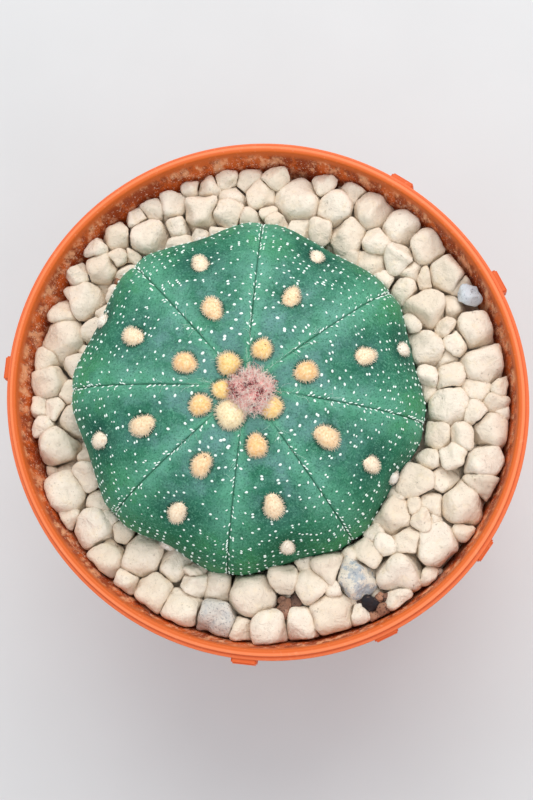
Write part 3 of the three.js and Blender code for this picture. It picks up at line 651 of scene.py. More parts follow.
def across_rib(angle):
    """How far an angle is across its rib, from -1 to 1, and half the rib's width in degrees."""
    turn = np.mod(np.asarray(angle, float) - FURROW_ANGLES[0], 360)
    starts = np.concatenate([[0], np.cumsum(RIB_WIDTHS)])
    rib = np.clip(np.searchsorted(starts, turn, side="right") - 1, 0, len(RIB_WIDTHS) - 1)
    return 2 * (turn - starts[rib]) / RIB_WIDTHS[rib] - 1, RIB_WIDTHS[rib] / 2


def rib_hollow(across):
    return RIB_HOLLOW * np.cos(np.pi / 2 * np.minimum(1, np.abs(across))) ** RIB_HOLLOW_POWER


# %% Keep a stone off the wall and the plant
def clear_of_plant(point):
    """Distance from a point to the plant's ribbed outline at its own height."""
    local = PLANT_TURN.T @ (point - PLANT_PLACE)
    share = min(1, max(0, -local[2] / UNDERSIDE_DEPTH))
    outline = ROOT_RADIUS + (BODY_RADIUS - ROOT_RADIUS) * math.sqrt(1 - share * share)
    across, _ = across_rib(math.degrees(math.atan2(local[1], local[0])))
    return math.hypot(local[0], local[1]) - outline + float(rib_hollow(across))


def clear_of_wall(point):
    unpressed = press(point, -1)
    return wall_inside(point[2]) - math.hypot(unpressed[0], unpressed[1])


def flat_direction(vector):
    length = math.hypot(vector[0], vector[1])
    return np.array([vector[0] / length, vector[1] / length, 0.0])


def keep_off_wall_and_plant(middle, radius):
    """Moves the middle of a stone sideways until it only touches the plant and the wall."""
    into_plant = max(0, NESTLE * radius - clear_of_plant(middle))
    middle += flat_direction(middle - PLANT_PLACE) * into_plant
    into_wall = max(0, NESTLE * radius - clear_of_wall(middle))
    middle -= flat_direction(middle) * into_wall


# %% Repeatable draws
MASK = 0xFFFFFFFF


def seeded_draw(seed):
    """Repeatable numbers between 0 and 1, the same as the CAD model draws."""
    state = seed

    def draw():
        nonlocal state
        state = (state + 0x6D2B79F5) & MASK
        mixed = ((state ^ (state >> 15)) * (1 | state)) & MASK
        mixed = ((mixed + (mixed ^ (mixed >> 7)) * (61 | mixed)) & MASK) ^ mixed
        return (mixed ^ (mixed >> 14)) / 2**32

    return draw


def on_round(angle, radius, height):
    turn = math.radians(angle)
    return np.array([radius * math.cos(turn), radius * math.sin(turn), height])


def stone_character(draw, stretch, heading):
    """What makes one stone unlike the next: its long axis and its broken faces."""
    long = on_round(heading, 1, 0.5 * (draw() - 0.5))
    long /= np.linalg.norm(long)
    facets = []
    for _ in range(FACETS):
        height = 2 * draw() - 1
        turn = 2 * math.pi * draw()
        level = math.sqrt(1 - height * height)
        facets.append((level * math.cos(turn), level * math.sin(turn), height, 0.98 + 0.3 * draw()))
    return {"stretch": stretch, "long": long, "facets": np.array(facets)}


def strewn_stone(draw):
    radius = STONE_LEAST_RADIUS + (STONE_MOST_RADIUS - STONE_LEAST_RADIUS) * draw() ** STONE_SKEW
    stretch, heading = 1 + STRETCH * draw(), 360 * draw()
    return {"radius": radius, **stone_character(draw, stretch, heading)}


def even_reach(draw, inner, outer):
    """A distance from the axis, drawn so that places are even over the ring."""
    return math.sqrt(inner**2 + (outer**2 - inner**2) * draw())


def tried_places(draw, height, radius):
    """Places drawn evenly between the plant and the wall."""
    places = []
    for _ in range(PLACES_TRIED):
        out = even_reach(draw, BODY_RADIUS, wall_inside(height))
        place = on_round(360 * draw(), out, height)
        keep_off_wall_and_plant(place, radius)
        places.append(place)
    return places


# %% Settle and drop
def settle(stones):
    """Moves stones apart until they only touch. Those already settled stay put."""
    moving = [stone for stone in stones if not stone.get("at_rest")]
    for _ in range(SETTLING_ROUNDS):
        for stone in moving:
            middle = stone["middle"]
            for other in stones:
                if other is stone:
                    continue
                dx, dy = other["middle"][0] - middle[0], other["middle"][1] - middle[1]
                touching = NESTLE * (stone["radius"] + other["radius"])
                if dx * dx + dy * dy < touching * touching:
                    away = math.hypot(dx, dy)
                    push = (1 if other.get("at_rest") else 0.5) * (touching - away) / away
                    middle[0] -= push * dx
                    middle[1] -= push * dy
            keep_off_wall_and_plant(middle, stone["radius"])
    for stone in stones:
        stone["at_rest"] = True


def arrays_of(stones):
    return np.array([stone["middle"] for stone in stones]), np.array([stone["radius"] for stone in stones])


def flat_distance(place, middles):
    return np.hypot(middles[:, 0] - place[0], middles[:, 1] - place[1])


def room_at(place, middles, radii):
    """The free distance round a place, seen from above."""
    rooms = flat_distance(place, middles) - radii
    return min(rooms.min(), clear_of_wall(place), clear_of_plant(place))


def resting_heights(place, radius, middles, radii, nestle, side):
    """Heights at which a stone touches each of those in its way, above them (1) or below (-1)."""
    away = flat_distance(place, middles)
    touching = nestle * (radius + radii)
    near = away < touching
    return middles[near, 2] + side * np.sqrt(touching[near] ** 2 - away[near] ** 2)


def dropped(place, radius, middles, radii):
    """The place straight below a place where a stone comes to rest on others."""
    rests = resting_heights(place, radius, middles, radii, NESTLE, 1)
    return np.array([place[0], place[1], max([STONE_FLOOR + radius, *rests])])


# %% Pile them
def listed_stones(draw):
    stones = []
    rows = [*(("", *stone) for stone in LARGE_STONES), *ODD_STONES]
    for name, x, y, radius, stretch, heading in rows:
        character = stone_character(draw, stretch, heading)
        stone = {"name": name, "radius": radius, "layer": "listed", **character}
        stone["middle"] = np.array([x, y, LARGE_TOP - radius], float)
        stones.append(stone)
    return stones


def pile_stones():
    draw = seeded_draw(STONE_SEED)
    stones = listed_stones(draw)
    settle(stones)
    for _ in range(TOP_STONES):
        stone = {"name": "", "layer": "strewn", **strewn_stone(draw)}
        height = LARGE_TOP - stone["radius"] - TOP_STONE_DEPTH * draw()
        places = tried_places(draw, height, stone["radius"])
        middles, radii = arrays_of(stones)
        stone["middle"] = max(places, key=lambda place: room_at(place, middles, radii))
        stones.append(stone)
    settle(stones)
    for _ in range(STONE_TRIES):
        stone = {"name": "", "layer": "dropped", **strewn_stone(draw)}
        places = tried_places(draw, STONE_LEVEL, stone["radius"])
        middles, radii = arrays_of(stones)
        rests = [dropped(place, stone["radius"], middles, radii) for place in places]
        stone["middle"] = min(rests, key=lambda rest: rest[2])
        if stone["middle"][2] + 0.5 * stone["radius"] < STONE_LEVEL:
            stones.append(stone)
    return stones


stones = pile_stones()
print(len(stones), "stones as in the CAD model")

# %% [markdown]
# In two places at the lower edge of the plant the pile has a pocket of rusty grit instead of a small
# stone. The stones of the CAD model also leave narrow gaps, through which its bed would show. The lesson
# closes them with one more layer, pushed up from beneath as far as the stones above allow.

# %% Sink two stones for the grit, and fill in from beneath
# Place and size of each crumb of grit. The first of each pocket marks the middle of the pocket.
GRIT_POCKETS = [
    [
        (3.9, -40.2, 1.7), (5.6, -39.0, 1.3), (2.2, -41.4, 1.1),
        (6.6, -40.8, 0.9), (5.0, -41.6, 0.8), (3.2, -38.6, 0.8),
    ],
    [
        (19.6, -39.3, 1.5), (22.0, -40.6, 1.6), (22.9, -38.6, 1.2),
        (18.2, -38.3, 1.0), (20.3, -41.6, 1.0), (21.2, -38.0, 0.9),
    ],
]
LONE_GRIT = [
    (-29.0, 24.5, 1.0), (31.0, -31.8, 0.9), (-6.0, -37.5, 0.7), (9.3, -42.6, 0.8), (8.9, -41.4, 0.6),
]
POCKET_RADIUS, POCKET_FLOOR = 2.6, 76.8
BENEATH_TRIES, BENEATH_SEED = 1500, 6
BENEATH_TOP, BENEATH_LEAST, BENEATH_NESTLE, BENEATH_CLOSENESS = 79.4, 74.5, 0.68, 0.8
BENEATH_RADIUS, BENEATH_SPREAD, BENEATH_STRETCH = 1.9, 1.5, 0.4
BENEATH_INNER, BENEATH_WALL_LEVEL, BENEATH_START = 28.0, 74, 75.0


def in_pocket(place):
    middles = [pocket[0] for pocket in GRIT_POCKETS]
    return any(math.hypot(place[0] - x, place[1] - y) < POCKET_RADIUS for x, y, _ in middles)


def stones_beneath(stones):
    """Stones of the layer beneath, each as high as those above it allow."""
    middles, radii = arrays_of(stones)
    draw = np.random.default_rng(BENEATH_SEED).random
    beneath = []
    for _ in range(BENEATH_TRIES):
        radius = BENEATH_RADIUS + BENEATH_SPREAD * draw()
        out = even_reach(draw, BENEATH_INNER, wall_inside(BENEATH_WALL_LEVEL))
        place = on_round(360 * draw(), out, BENEATH_START)
        keep_off_wall_and_plant(place, radius)
        under = resting_heights(place, radius, middles, radii, BENEATH_NESTLE, -1)
        place[2] = min([(POCKET_FLOOR if in_pocket(place) else BENEATH_TOP) - radius, *under])
        gaps = [
            np.linalg.norm(other["middle"] - place) - BENEATH_CLOSENESS * (other["radius"] + radius)
            for other in beneath
        ]
        if place[2] + radius < BENEATH_LEAST or min(gaps, default=1) < 0:
            continue
        stretch, heading = 1 + BENEATH_STRETCH * draw(), 360 * draw()
        character = stone_character(draw, stretch, heading)
        beneath.append({"name": "", "layer": "beneath", "radius": radius, "middle": place, **character})
    return beneath


for stone in stones:
    if stone["layer"] == "strewn" and in_pocket(stone["middle"]):
        stone["middle"][2] = POCKET_FLOOR - stone["radius"]
stones += stones_beneath(stones)
for layer in ("listed", "strewn", "dropped", "beneath"):
    print(layer, sum(stone["layer"] == layer for stone in stones))

# %% [markdown]
# ## The shape of a stone
# Pumice is broken, then tumbled: flat faces with softly rounded edges. A stone here is a ball that is
# drawn out along its long axis and cut by flats, some facing its neighbours and some of its own, and all
# are rounded together by a sum of powers. Swells of its own keep two stones from looking alike.

# %% Flats of a stone
BALL_REACH = 1.35  # radius of the uncut ball
NEIGHBOUR_REACH = 1.5  # stones further apart than this don't cut each other
LEAST_FLAT = 0.35  # no flat comes nearer to the middle than this share of the radius
TOP_TILT, TOP_SHARE, FACET_CUT = 0.5, 1.04, 0.13


def ball_directions(detail):
    ball = bmesh.new()
    bmesh.ops.create_icosphere(ball, subdivisions=detail, radius=1)
    directions = np.array([vertex.co for vertex in ball.verts])
    faces = np.array([[vertex.index for vertex in face.verts] for face in ball.faces])
    ball.free()
    return directions / np.linalg.norm(directions, axis=1, keepdims=True), faces


def stone_flats(stone, middles, radii):
    """Normals and distances of all the flats: neighbours, wall, plant, broad top and broken faces."""
    middle, radius = stone["middle"], stone["radius"]
    away = middles - middle
    apart = np.linalg.norm(away, axis=1)
    near = (apart > 1e-6) & (apart < NEIGHBOUR_REACH * (radius + radii))
    shares = (apart[near] ** 2 + radius**2 - radii[near] ** 2) / (2 * apart[near])
    normals = [*(away[near] / apart[near, None])]
    distances = [*(shares + OVERLAP)]
    square = flat_direction(middle) - [0, 0, TAPER]
    normals.append(square / np.linalg.norm(square))
    distances.append((clear_of_wall(middle) - WALL_GAP) / math.hypot(1, TAPER))
    normals.append(flat_direction(PLANT_PLACE - middle))
    distances.append(clear_of_plant(middle) + OVERLAP)
    top = np.array([*(TOP_TILT * stone["facets"][0, :2]), 1.0])
    normals.append(top / np.linalg.norm(top))
    distances.append(TOP_SHARE * radius)
    normals += [*stone["facets"][:, :3]]
    distances += [*((stone["facets"][:, 3] - FACET_CUT) * radius)]
    return np.array(normals), np.maximum(distances, LEAST_FLAT * radius)


# %% Cut the stones
SWELLS, SWELL_DEPTH, SWELL_WAVE, SWELL_BIAS = 4, 0.045, 2.2, 0.3
WHOLE_TURN = 6.28


def stone_points(stone, middles, radii, directions, swelling):
    normals, distances = stone_flats(stone, middles, radii)
    along = directions @ stone["long"]
    ball = np.sqrt(1 - along**2 + (along / stone["stretch"]) ** 2) / (BALL_REACH * stone["radius"])
    facing = np.maximum(0, directions @ normals.T) / distances
    reach = (ball**EDGE_HARDNESS + (facing**EDGE_HARDNESS).sum(1)) ** (-1 / EDGE_HARDNESS)
    for _ in range(SWELLS):
        wave = swelling.normal(size=3)
        swell = np.sin(directions @ wave * SWELL_WAVE + WHOLE_TURN * swelling.random())
        reach *= 1 + SWELL_DEPTH * (swell - SWELL_BIAS)
    return stone["middle"] + directions * reach[:, None]


def stone_mesh(name, chosen, detail, seed, neighbours):
    """All the chosen stones in one mesh, each with a tone of its own."""
    middles, radii = arrays_of(neighbours)
    directions, faces = ball_directions(detail)
    swelling = np.random.default_rng(seed)
    points, corners, tones = [], [], []
    for stone in chosen:
        corners.append(faces + len(points) * len(directions))
        points.append(stone_points(stone, middles, radii, directions, swelling))
        tones.append(np.full(len(directions), swelling.random()))
    obj = new_piece(name, np.concatenate(points), np.concatenate(corners).tolist())
    store(obj, "stone_tone", np.concatenate(tones))
    return obj


top_stones = [stone for stone in stones if stone["layer"] in ("listed", "strewn") and not stone["name"]]
lower_stones = [stone for stone in stones if stone["layer"] in ("dropped", "beneath")]
pile = [stone for stone in stones if stone["layer"] != "beneath"]
pumice_top = stone_mesh("pumice_top", top_stones, detail=4, seed=11, neighbours=pile)
pumice_below = stone_mesh("pumice_below", lower_stones, detail=3, seed=12, neighbours=stones)
odd_pieces = [
    stone_mesh(stone["name"] + "_fine", [stone], detail=5, seed=13, neighbours=pile)
    for stone in pile
    if stone["name"]
]
print(len(top_stones), "stones on top and", len(lower_stones), "below")

# %% [markdown]
# Tumbled pumice is smooth from afar and finely lumpy close up. That relief is the same rule on every
# stone, so a small Geometry Nodes tree adds it: each point moves along its normal by a coarse and a fine
# noise.

# %% Trees for geometry
class GeometryGraph(Graph):
    """A Geometry Nodes tree with a geometry input, named sizes and a geometry output."""

    def __init__(self, name, **sizes):
        super().__init__(bpy.data.node_groups.new(name, "GeometryNodeTree"))
        sockets = self.tree.interface
        sockets.new_socket("Geometry", in_out="INPUT", socket_type="NodeSocketGeometry")
        sockets.new_socket("Geometry", in_out="OUTPUT", socket_type="NodeSocketGeometry")
        for size, kind in sizes.items():
            sockets.new_socket(size, in_out="INPUT", socket_type="NodeSocket" + kind)
        source = self.tree.nodes.new("NodeGroupInput")
        self.inputs = {socket.name: Term(self, socket) for socket in source.outputs if socket.name}

    def scaled(self, vector, factor):
        return self.add("ShaderNodeVectorMath", {0: vector, "Scale": factor}, operation="SCALE")

    def moved(self, geometry, offset):
        return self.add("GeometryNodeSetPosition", {"Geometry": geometry, "Offset": offset})

    def named(self, attribute, kind="FLOAT"):
        return self.add("GeometryNodeInputNamedAttribute", {"Name": attribute}, data_type=kind)

    def tubes(self, curves, thickness):
        """Three-sided tubes along curves."""
        section = self.add("GeometryNodeCurvePrimitiveCircle", {"Resolution": 3, "Radius": 0.5})
        parts = {"Curve": curves, "Profile Curve": section, "Scale": thickness, "Fill Caps": True}
        return self.add("GeometryNodeCurveToMesh", parts)

    def end(self, geometry, material):
        """Realizes what was instanced, sets the material and hands the geometry out."""
        real = self.add("GeometryNodeRealizeInstances", [geometry])
        painted = self.add("GeometryNodeSetMaterial", {"Geometry": real, "Material": material})
        out = self.tree.nodes.new("NodeGroupOutput")
        self.tree.links.new(painted.socket, out.inputs[0])


def grown(obj, graph, **sizes):
    """Runs a tree on an object, with its named sizes, and keeps the result as a plain mesh."""
    modifier = obj.modifiers.new(graph.tree.name, "NODES")
    modifier.node_group = graph.tree
    for item in graph.tree.interface.items_tree:
        if item.in_out == "INPUT" and item.name in sizes:
            modifier[item.identifier] = sizes[item.name]
    return plainly(obj)


# %% A tree that roughens stone
RELIEF_SIZES = {"Lump_size": "Float", "Lump_depth": "Float", "Grain_size": "Float", "Grain_depth": "Float"}
NOISE_MIDDLE = 0.55


def relief_sizes(lump_size, lump_depth, grain_size, grain_depth):
    """The named sizes of a roughening tree, from millimetres."""
    sizes = (lump_size, lump_depth, grain_size, grain_depth)
    return {name: size * MM for name, size in zip(RELIEF_SIZES, sizes)}


def roughening_tree(name, material):
    graph = GeometryGraph(name, **RELIEF_SIZES)
    place = graph.add("GeometryNodeInputPosition")

    def relief(part):
        inputs = {"Vector": place, "Scale": 1 / graph.inputs[part + "_size"], "Detail": 2.0}
        lumps = graph.add("ShaderNodeTexNoise", inputs)
        return (lumps - NOISE_MIDDLE) * graph.inputs[part + "_depth"]

    offset = graph.scaled(graph.add("GeometryNodeInputNormal"), relief("Lump") + relief("Grain"))
    graph.end(graph.moved(graph.inputs["Geometry"], offset), material)
    return graph


# %% [markdown]
# The colour of pumice is a warm cream, paler on some stones and yellower on others, with a few grey grains
# and a little dust. A pore is a small hollow: it goes into the bump, and the shade inside it is painted into
# the colour, as is shade in the low places of the wrinkles. The odd stones follow the same recipe with other
# colours and more or bolder grains.

# %% Stone finish
def darker(colour, share):
    return tuple(share * value for value in colour)


def stone_finish(name, pale, deep, grains, share, patch, grain_strength=0.75, patch_strength=0.35):
    """Stone with clouds of two colours, patches, grains that take up a share of it, and pores."""
    finish = Finish(name, Roughness=0.93, Specular_IOR_Level=0.25)
    toned = finish.grain(3.2, 4.0, 0.6) * 0.6 + finish.stored("stone_tone") * 0.55
    low, high = 0.62 - 0.2 * patch_strength, 0.80 - 0.3 * patch_strength
    wrinkles = finish.grain(2.3, 6.0, 0.62, distortion=0.6)
    pores = (1 - finish.step(finish.cells(0.95), 0.10, 0.24)) * finish.blotches(2.4, 0.50, 0.62, 2.0)
    finish.ground(finish.mix(finish.step(toned, 0.25, 0.85), deep, pale))
    finish.coat(finish.blotches(1.9, low, high, 5.0, 0.65) * patch_strength, patch)
    # Painted shade in the low places of the wrinkle relief.
    finish.coat((1 - finish.step(wrinkles, 0.36, 0.48)) * 0.22, darker(deep, 0.7))
    finish.coat(finish.blotches(0.42, 1 - share, 1.04 - share, 2.0, 0.6) * grain_strength, grains)
    # Painted shade in the pores.
    finish.coat(pores * 0.3, darker(deep, 0.5))
    finish.bump(wrinkles, 0.62)
    finish.bump(finish.grain(0.6, 5.0, 0.68), 0.17)
    finish.bump(1 - pores, 0.10)
    return finish.material


# %% Roughen and dress the pumice
pumice = stone_finish(
    "pumice", pale=(0.86, 0.76, 0.635), deep=(0.80, 0.68, 0.54), grains=(0.54, 0.46, 0.36), share=0.37,
    patch=(0.85, 0.70, 0.50), grain_strength=0.5, patch_strength=0.45,
)
PUMICE_RELIEF = relief_sizes(lump_size=2.6, lump_depth=1.0, grain_size=0.8, grain_depth=0.27)
pumice_tree = roughening_tree("pumice_surface", pumice)
for obj in (pumice_top, pumice_below):
    grown(obj, pumice_tree, **PUMICE_RELIEF)
    finish_piece(obj, "pumice", "pumice_layer")

# %% The three stones of another colour
blue_grey = stone_finish(
    "blue_grey_rock", pale=(0.78, 0.71, 0.60), deep=(0.68, 0.61, 0.51), grains=(0.20, 0.25, 0.31),
    share=0.40, patch=(0.30, 0.37, 0.44), grain_strength=0.6, patch_strength=0.7,
)
pale_grey = stone_finish(
    "pale_grey_rock", pale=(0.74, 0.68, 0.60), deep=(0.56, 0.53, 0.48), grains=(0.30, 0.30, 0.30),
    share=0.42, patch=(0.45, 0.46, 0.46), grain_strength=0.7, patch_strength=0.5,
)
whitish = stone_finish(
    "whitish_rock", pale=(0.74, 0.77, 0.80), deep=(0.48, 0.52, 0.56), grains=(0.28, 0.31, 0.36),
    share=0.38, patch=(0.60, 0.62, 0.62),
)
ODD_RELIEF = relief_sizes(lump_size=1.6, lump_depth=0.40, grain_size=0.5, grain_depth=0.12)
ODD_SLOTS = ("blue_grey_rock", "pale_grey_rock", "whitish_rock")
for obj, slot, material in zip(odd_pieces, ODD_SLOTS, (blue_grey, pale_grey, whitish)):
    node = obj.name.removesuffix("_fine")
    grown(obj, roughening_tree(node + "_surface", material), **ODD_RELIEF)
    finish_piece(obj, slot, node)

# %% [markdown]
# A little of the mix was stirred up among the stones: rusty crumbs and dark grit, most of it at the lower
# edge of the plant. They are stones too, only smaller, so the same rule makes them.

# %% Grit between the stones
GRIT_HEIGHT, GRIT_STRETCH, GRIT_SEED = 77.4, 1.3, 17
GRIT_RELIEF = relief_sizes(lump_size=0.9, lump_depth=0.5, grain_size=0.3, grain_depth=0.1)
sprinkle = np.random.default_rng(GRIT_SEED).random


def crumb(x, y, size):
    heading = 360 * sprinkle()
    character = stone_character(sprinkle, GRIT_STRETCH, heading)
    return {"middle": np.array([x, y, GRIT_HEIGHT]), "radius": size, **character}


crumbs = [crumb(*row) for row in [*GRIT_POCKETS[0], *GRIT_POCKETS[1], *LONE_GRIT]]
grit = stone_mesh("rusty_grit", crumbs, detail=3, seed=15, neighbours=pile)
rust = stone_finish(
    "rusty_grit", pale=(0.42, 0.21, 0.13), deep=(0.022, 0.020, 0.024), grains=(0.03, 0.02, 0.018),
    share=0.42, patch=(0.58, 0.36, 0.26),
)
grown(grit, roughening_tree("grit_surface", rust), **GRIT_RELIEF)
finish_piece(grit, "potting_mix")

# %% [markdown]
# The stones lie on more of their kind, down to the mix. Nobody sees that deep, so a plain bed carries
# them.

# %% The bed under the stones
BED_TOP, BED_SEGMENTS, BED_TONE = 73.0, 96, 0.2
bed_profile = [(0, MIX_TOP + WALL_GAP), (wall_inside(MIX_TOP) - WALL_GAP, MIX_TOP + WALL_GAP)]
bed_profile += [(wall_inside(BED_TOP) - WALL_GAP, BED_TOP), (0, BED_TOP)]
bed_points, bed_faces = turned(bed_profile, BED_SEGMENTS)
bed = new_piece("pumice_bed", press(bed_points), bed_faces, pumice)
store(bed, "stone_tone", np.full(len(bed_points), BED_TONE))
finish_piece(bed, "pumice", "pumice_layer")

# %% [markdown]
# ## The body of the cactus
# The plant is a flattened dome of eight broad ribs. Each rib is highest beside its furrows and hollow
# along its middle, where the woolly areoles sit in shallow dimples. Sculpting could give such a form, but
# its rule is simple: a round profile, less a hollow across each rib, a crease at each furrow and a dimple
# at each areole. The grid is finest near the furrows, where the form turns quickest.

# %% Areoles of each rib
# Angle down from the crown, width, and the turn away from the rib's middle.
AREOLES = [
    [(10, 3.8, 5), (30.5, 3.5, 3), (60, 3.0, 2.5)],
    [(6.5, 4.3, 19), (24.5, 4.0, 5), (47.5, 3.4, 2), (88, 2.9, -1)],
    [(17.5, 4.0, 4), (41, 3.8, 0), (74, 3.1, -2)],
    [(5.5, 3.6, -11), (12.5, 4.0, 3), (33.5, 4.1, 0), (60, 3.4, -2)],
    [(7.5, 5.6, 0), (25.5, 3.9, -2), (48.5, 3.7, -2), (90, 3.3, -1.5)],
    [(16, 4.0, -4), (38, 4.1, -1.5), (64.5, 3.0, 0)],
    [(8, 4.3, -8), (27.5, 4.3, 0), (51.5, 3.3, 1), (79, 2.8, 2)],
    [(16.5, 4.0, 0), (39.5, 3.7, 2), (69, 3.0, 2.5)],
]
FURROW_DEPTH, FURROW_WIDTH, FURROW_POWER = 0.45, 0.26, 1.3
CORNER_DEPTH, CORNER_WIDTH = 0.65, 2.2
DIMPLE_DEPTH, DIMPLE_RADIUS = 0.55, 3.2
AREOLE_RISE = 0.42


def body_profile(down):
    """Radius and height of the round body: 0 at the crown, 1 at the equator, 2 at the root, 3 at its tip."""
    down = np.asarray(down, float)
    top = np.clip(down, 0, 1) * np.pi / 2
    radius = BODY_RADIUS * np.sin(top) ** (2 / DOME_FULLNESS)
    height = DOME_HEIGHT * np.maximum(0, np.cos(top)) ** (2 / DOME_FULLNESS)
    height = height - CROWN_SINK * np.exp(-((radius / CROWN_SINK_RADIUS) ** 2))
    low = np.clip(down - 1, 0, 1) * np.pi / 2
    low_radius = ROOT_RADIUS + (BODY_RADIUS - ROOT_RADIUS) * np.cos(low)
    along = np.maximum(0, down - 2)
    root_radius = ROOT_RADIUS * (1 - (1 - ROOT_TIP_SHARE) * along)
    root_height = -UNDERSIDE_DEPTH - ROOT_LENGTH * along
    radius = np.where(down <= 1, radius, np.where(down <= 2, low_radius, root_radius))
    low_height = np.where(down <= 2, -UNDERSIDE_DEPTH * np.sin(low), root_height)
    return radius, np.where(down <= 1, height, low_height)


def body_normal(down):
    radius_before, height_before = body_profile(np.maximum(0, np.asarray(down) - 1e-3))
    radius_after, height_after = body_profile(np.asarray(down) + 1e-3)
    normal = np.stack([height_before - height_after, radius_after - radius_before])
    return normal / np.linalg.norm(normal, axis=0)


def smooth(value, low, high):
    share = np.clip((value - low) / (high - low), 0, 1)
    return share * share * (3 - 2 * share)


def around(angle, radius, height):
    turn = np.radians(angle)
    return np.stack(np.broadcast_arrays(radius * np.cos(turn), radius * np.sin(turn), height), -1)


areoles = []
for rib, row in enumerate(AREOLES):
    for from_crown, width, turned_by in row:
        angle, down = FURROW_ANGLES[rib] + RIB_WIDTHS[rib] / 2 + turned_by, from_crown / 90
        place = around(angle, *body_profile(down))
        areoles.append({"angle": angle, "down": down, "width": width, "round": place})
print(len(areoles), "areoles on", len(AREOLES), "ribs")

# %% Points of the ribbed skin
def areole_distance(points, share=0.0):
    """Distance over the round body to the nearest areole's middle, less this share of its width."""
    away = [np.linalg.norm(points - areole["round"], axis=-1) - share * areole["width"] for areole in areoles]
    return np.min(away, axis=0)


def skin_points(angle, down, raised=0.0):
    radius, height = body_profile(down)
    normal = body_normal(down)
    across, half_width = across_rib(angle)
    from_furrow = (1 - np.abs(across)) * np.radians(half_width) * radius
    hollow = rib_hollow(across) * smooth(down, 0.05, 0.75) * (1 - smooth(down, 1.15, 1.8))
    crease = FURROW_DEPTH * np.exp(-((from_furrow / FURROW_WIDTH) ** FURROW_POWER))
    corner = CORNER_DEPTH * np.exp(-((from_furrow / CORNER_WIDTH) ** 2)) * smooth(down, 0.3, 0.8)
    furrow = (crease + corner) * smooth(down, 0.06, 0.25) * (1 - smooth(down, 1.2, 1.7))
    from_areole = areole_distance(around(angle, radius, height))
    dimple = DIMPLE_DEPTH * np.exp(-((from_areole / DIMPLE_RADIUS) ** 2))
    inwards = hollow + furrow + dimple - raised
    return around(angle, radius - inwards * normal[0], height - inwards * normal[1])


COLUMNS_PER_RIB, COLUMN_CROWDING = 44, 1.45
DOME_ROWS, UNDER_ROWS = 176, 14
share = np.linspace(-1, 1, COLUMNS_PER_RIB, endpoint=False)
columns = np.sign(share) * (1 - (1 - np.abs(share)) ** COLUMN_CROWDING)
ribs = zip(FURROW_ANGLES, RIB_WIDTHS)
angles = np.concatenate([start + (columns + 1) / 2 * width for start, width in ribs])
downs = np.concatenate([np.linspace(0.015, 1.15, DOME_ROWS), np.linspace(1.2, 2, UNDER_ROWS), [2.5, 3]])
grid_angle, grid_down = np.meshgrid(angles, downs)
skin_grid = skin_points(grid_angle, grid_down)
print("skin grid", skin_grid.shape[:2])

# %% [markdown]
# Living skin is never quite even, so a slow noise moves it by a tenth of a millimetre. Five measures are
# kept on its points for the material: how far across its rib a point lies, how far from a furrow, from an
# areole's middle and from its edge, and how far down from the crown.

# %% Close the skin and keep its measures
SKIN_UNEVENNESS, UNEVEN_SCALE = 0.16, 0.22


def closed_grid(grid, top, bottom):
    """Points and faces of a grid of rings, closed by a point at its top and one at its bottom."""
    rows, columns = grid.shape[:2]
    points = np.concatenate([[top], grid.reshape(-1, 3), [bottom]])
    index = 1 + np.arange(rows * columns).reshape(rows, columns)
    beside = np.roll(index, -1, axis=1)
    walls = np.stack([index[:-1], index[1:], beside[1:], beside[:-1]], -1).reshape(-1, 4)
    faces = walls.tolist()
    faces += [(0, a, b) for a, b in zip(index[0].tolist(), beside[0].tolist())]
    faces += [(len(points) - 1, b, a) for a, b in zip(index[-1].tolist(), beside[-1].tolist())]
    return points, faces


def unevenness(point):
    return noise.fractal(Vector(point) * UNEVEN_SCALE, 1.0, 2.0, 3)


uneven = np.array([[unevenness(point) for point in row] for row in skin_grid])
grid_normal = around(grid_angle, *body_normal(grid_down))
skin_grid = skin_grid + grid_normal * (SKIN_UNEVENNESS * uneven)[..., None]
top_point = (0, 0, float(body_profile(0.0)[1]))
bottom_point = (0, 0, float(body_profile(3.0)[1]) - 1)
skin_mesh_points, skin_faces = closed_grid(skin_grid, top_point, bottom_point)
skin = new_piece("cactus_skin", on_plant(skin_mesh_points), skin_faces)

grid_across, grid_half = across_rib(grid_angle)
grid_radius, grid_height = body_profile(grid_down)
grid_round = around(grid_angle, grid_radius, grid_height)
measures = {
    "across": np.abs(grid_across),
    "from_furrow": (1 - np.abs(grid_across)) * np.radians(grid_half) * grid_radius,
    "from_areole": areole_distance(grid_round),
    "areole_edge": areole_distance(grid_round, 0.5),
    "down": grid_down,
}
for name, values in measures.items():
    store(skin, name, np.concatenate([[values[0].mean()], values.ravel(), [values[-1].mean()]]))
print("measures:", ", ".join(measures))

# %% [markdown]
# ## The green skin
# The ribs are mint-green beside their furrows, partly their own colour and partly a painted highlight on
# their raised edges, and a deep blue-green along their middles, with painted shade in the dimples round
# the areoles. A pale haze lies near the crown, and a duller, darker green low on the side away from the
# light is painted shade. Fine speckles and a few pale scuffs break it up, and the furrow is a thin dark
# line. The kept measures place these zones, and noise frays their edges, which a painted texture would
# do as well but not at every scale.

# %% Colours of the skin
# The mint is partly the skin's own colour and partly a painted highlight beside the furrows.
LEAF_DARK, LEAF_GREEN, MINT_AND_RIDGE_HIGHLIGHT = (0.010, 0.106, 0.056), (0.042, 0.208, 0.120), (0.112, 0.372, 0.230)
# The next two greens are painted shade: round the areoles, and on the side away from the light.
AREOLE_DIMPLE_SHADE, SHADE_SIDE_GREEN, SAP_GREEN = (0.004, 0.062, 0.046), (0.012, 0.116, 0.044), (0.040, 0.235, 0.078)
BLOOM, HAZE = (0.150, 0.290, 0.290), (0.180, 0.360, 0.345)
PALE_SPECK, DARK_SPECK, SCUFF = (0.160, 0.430, 0.285), (0.008, 0.072, 0.042), (0.240, 0.460, 0.360)
AREOLE_SHADE, CREASE_SHADE = (0.010, 0.050, 0.028), (0.010, 0.060, 0.035)
ROOT_BROWN = (0.30, 0.22, 0.13)

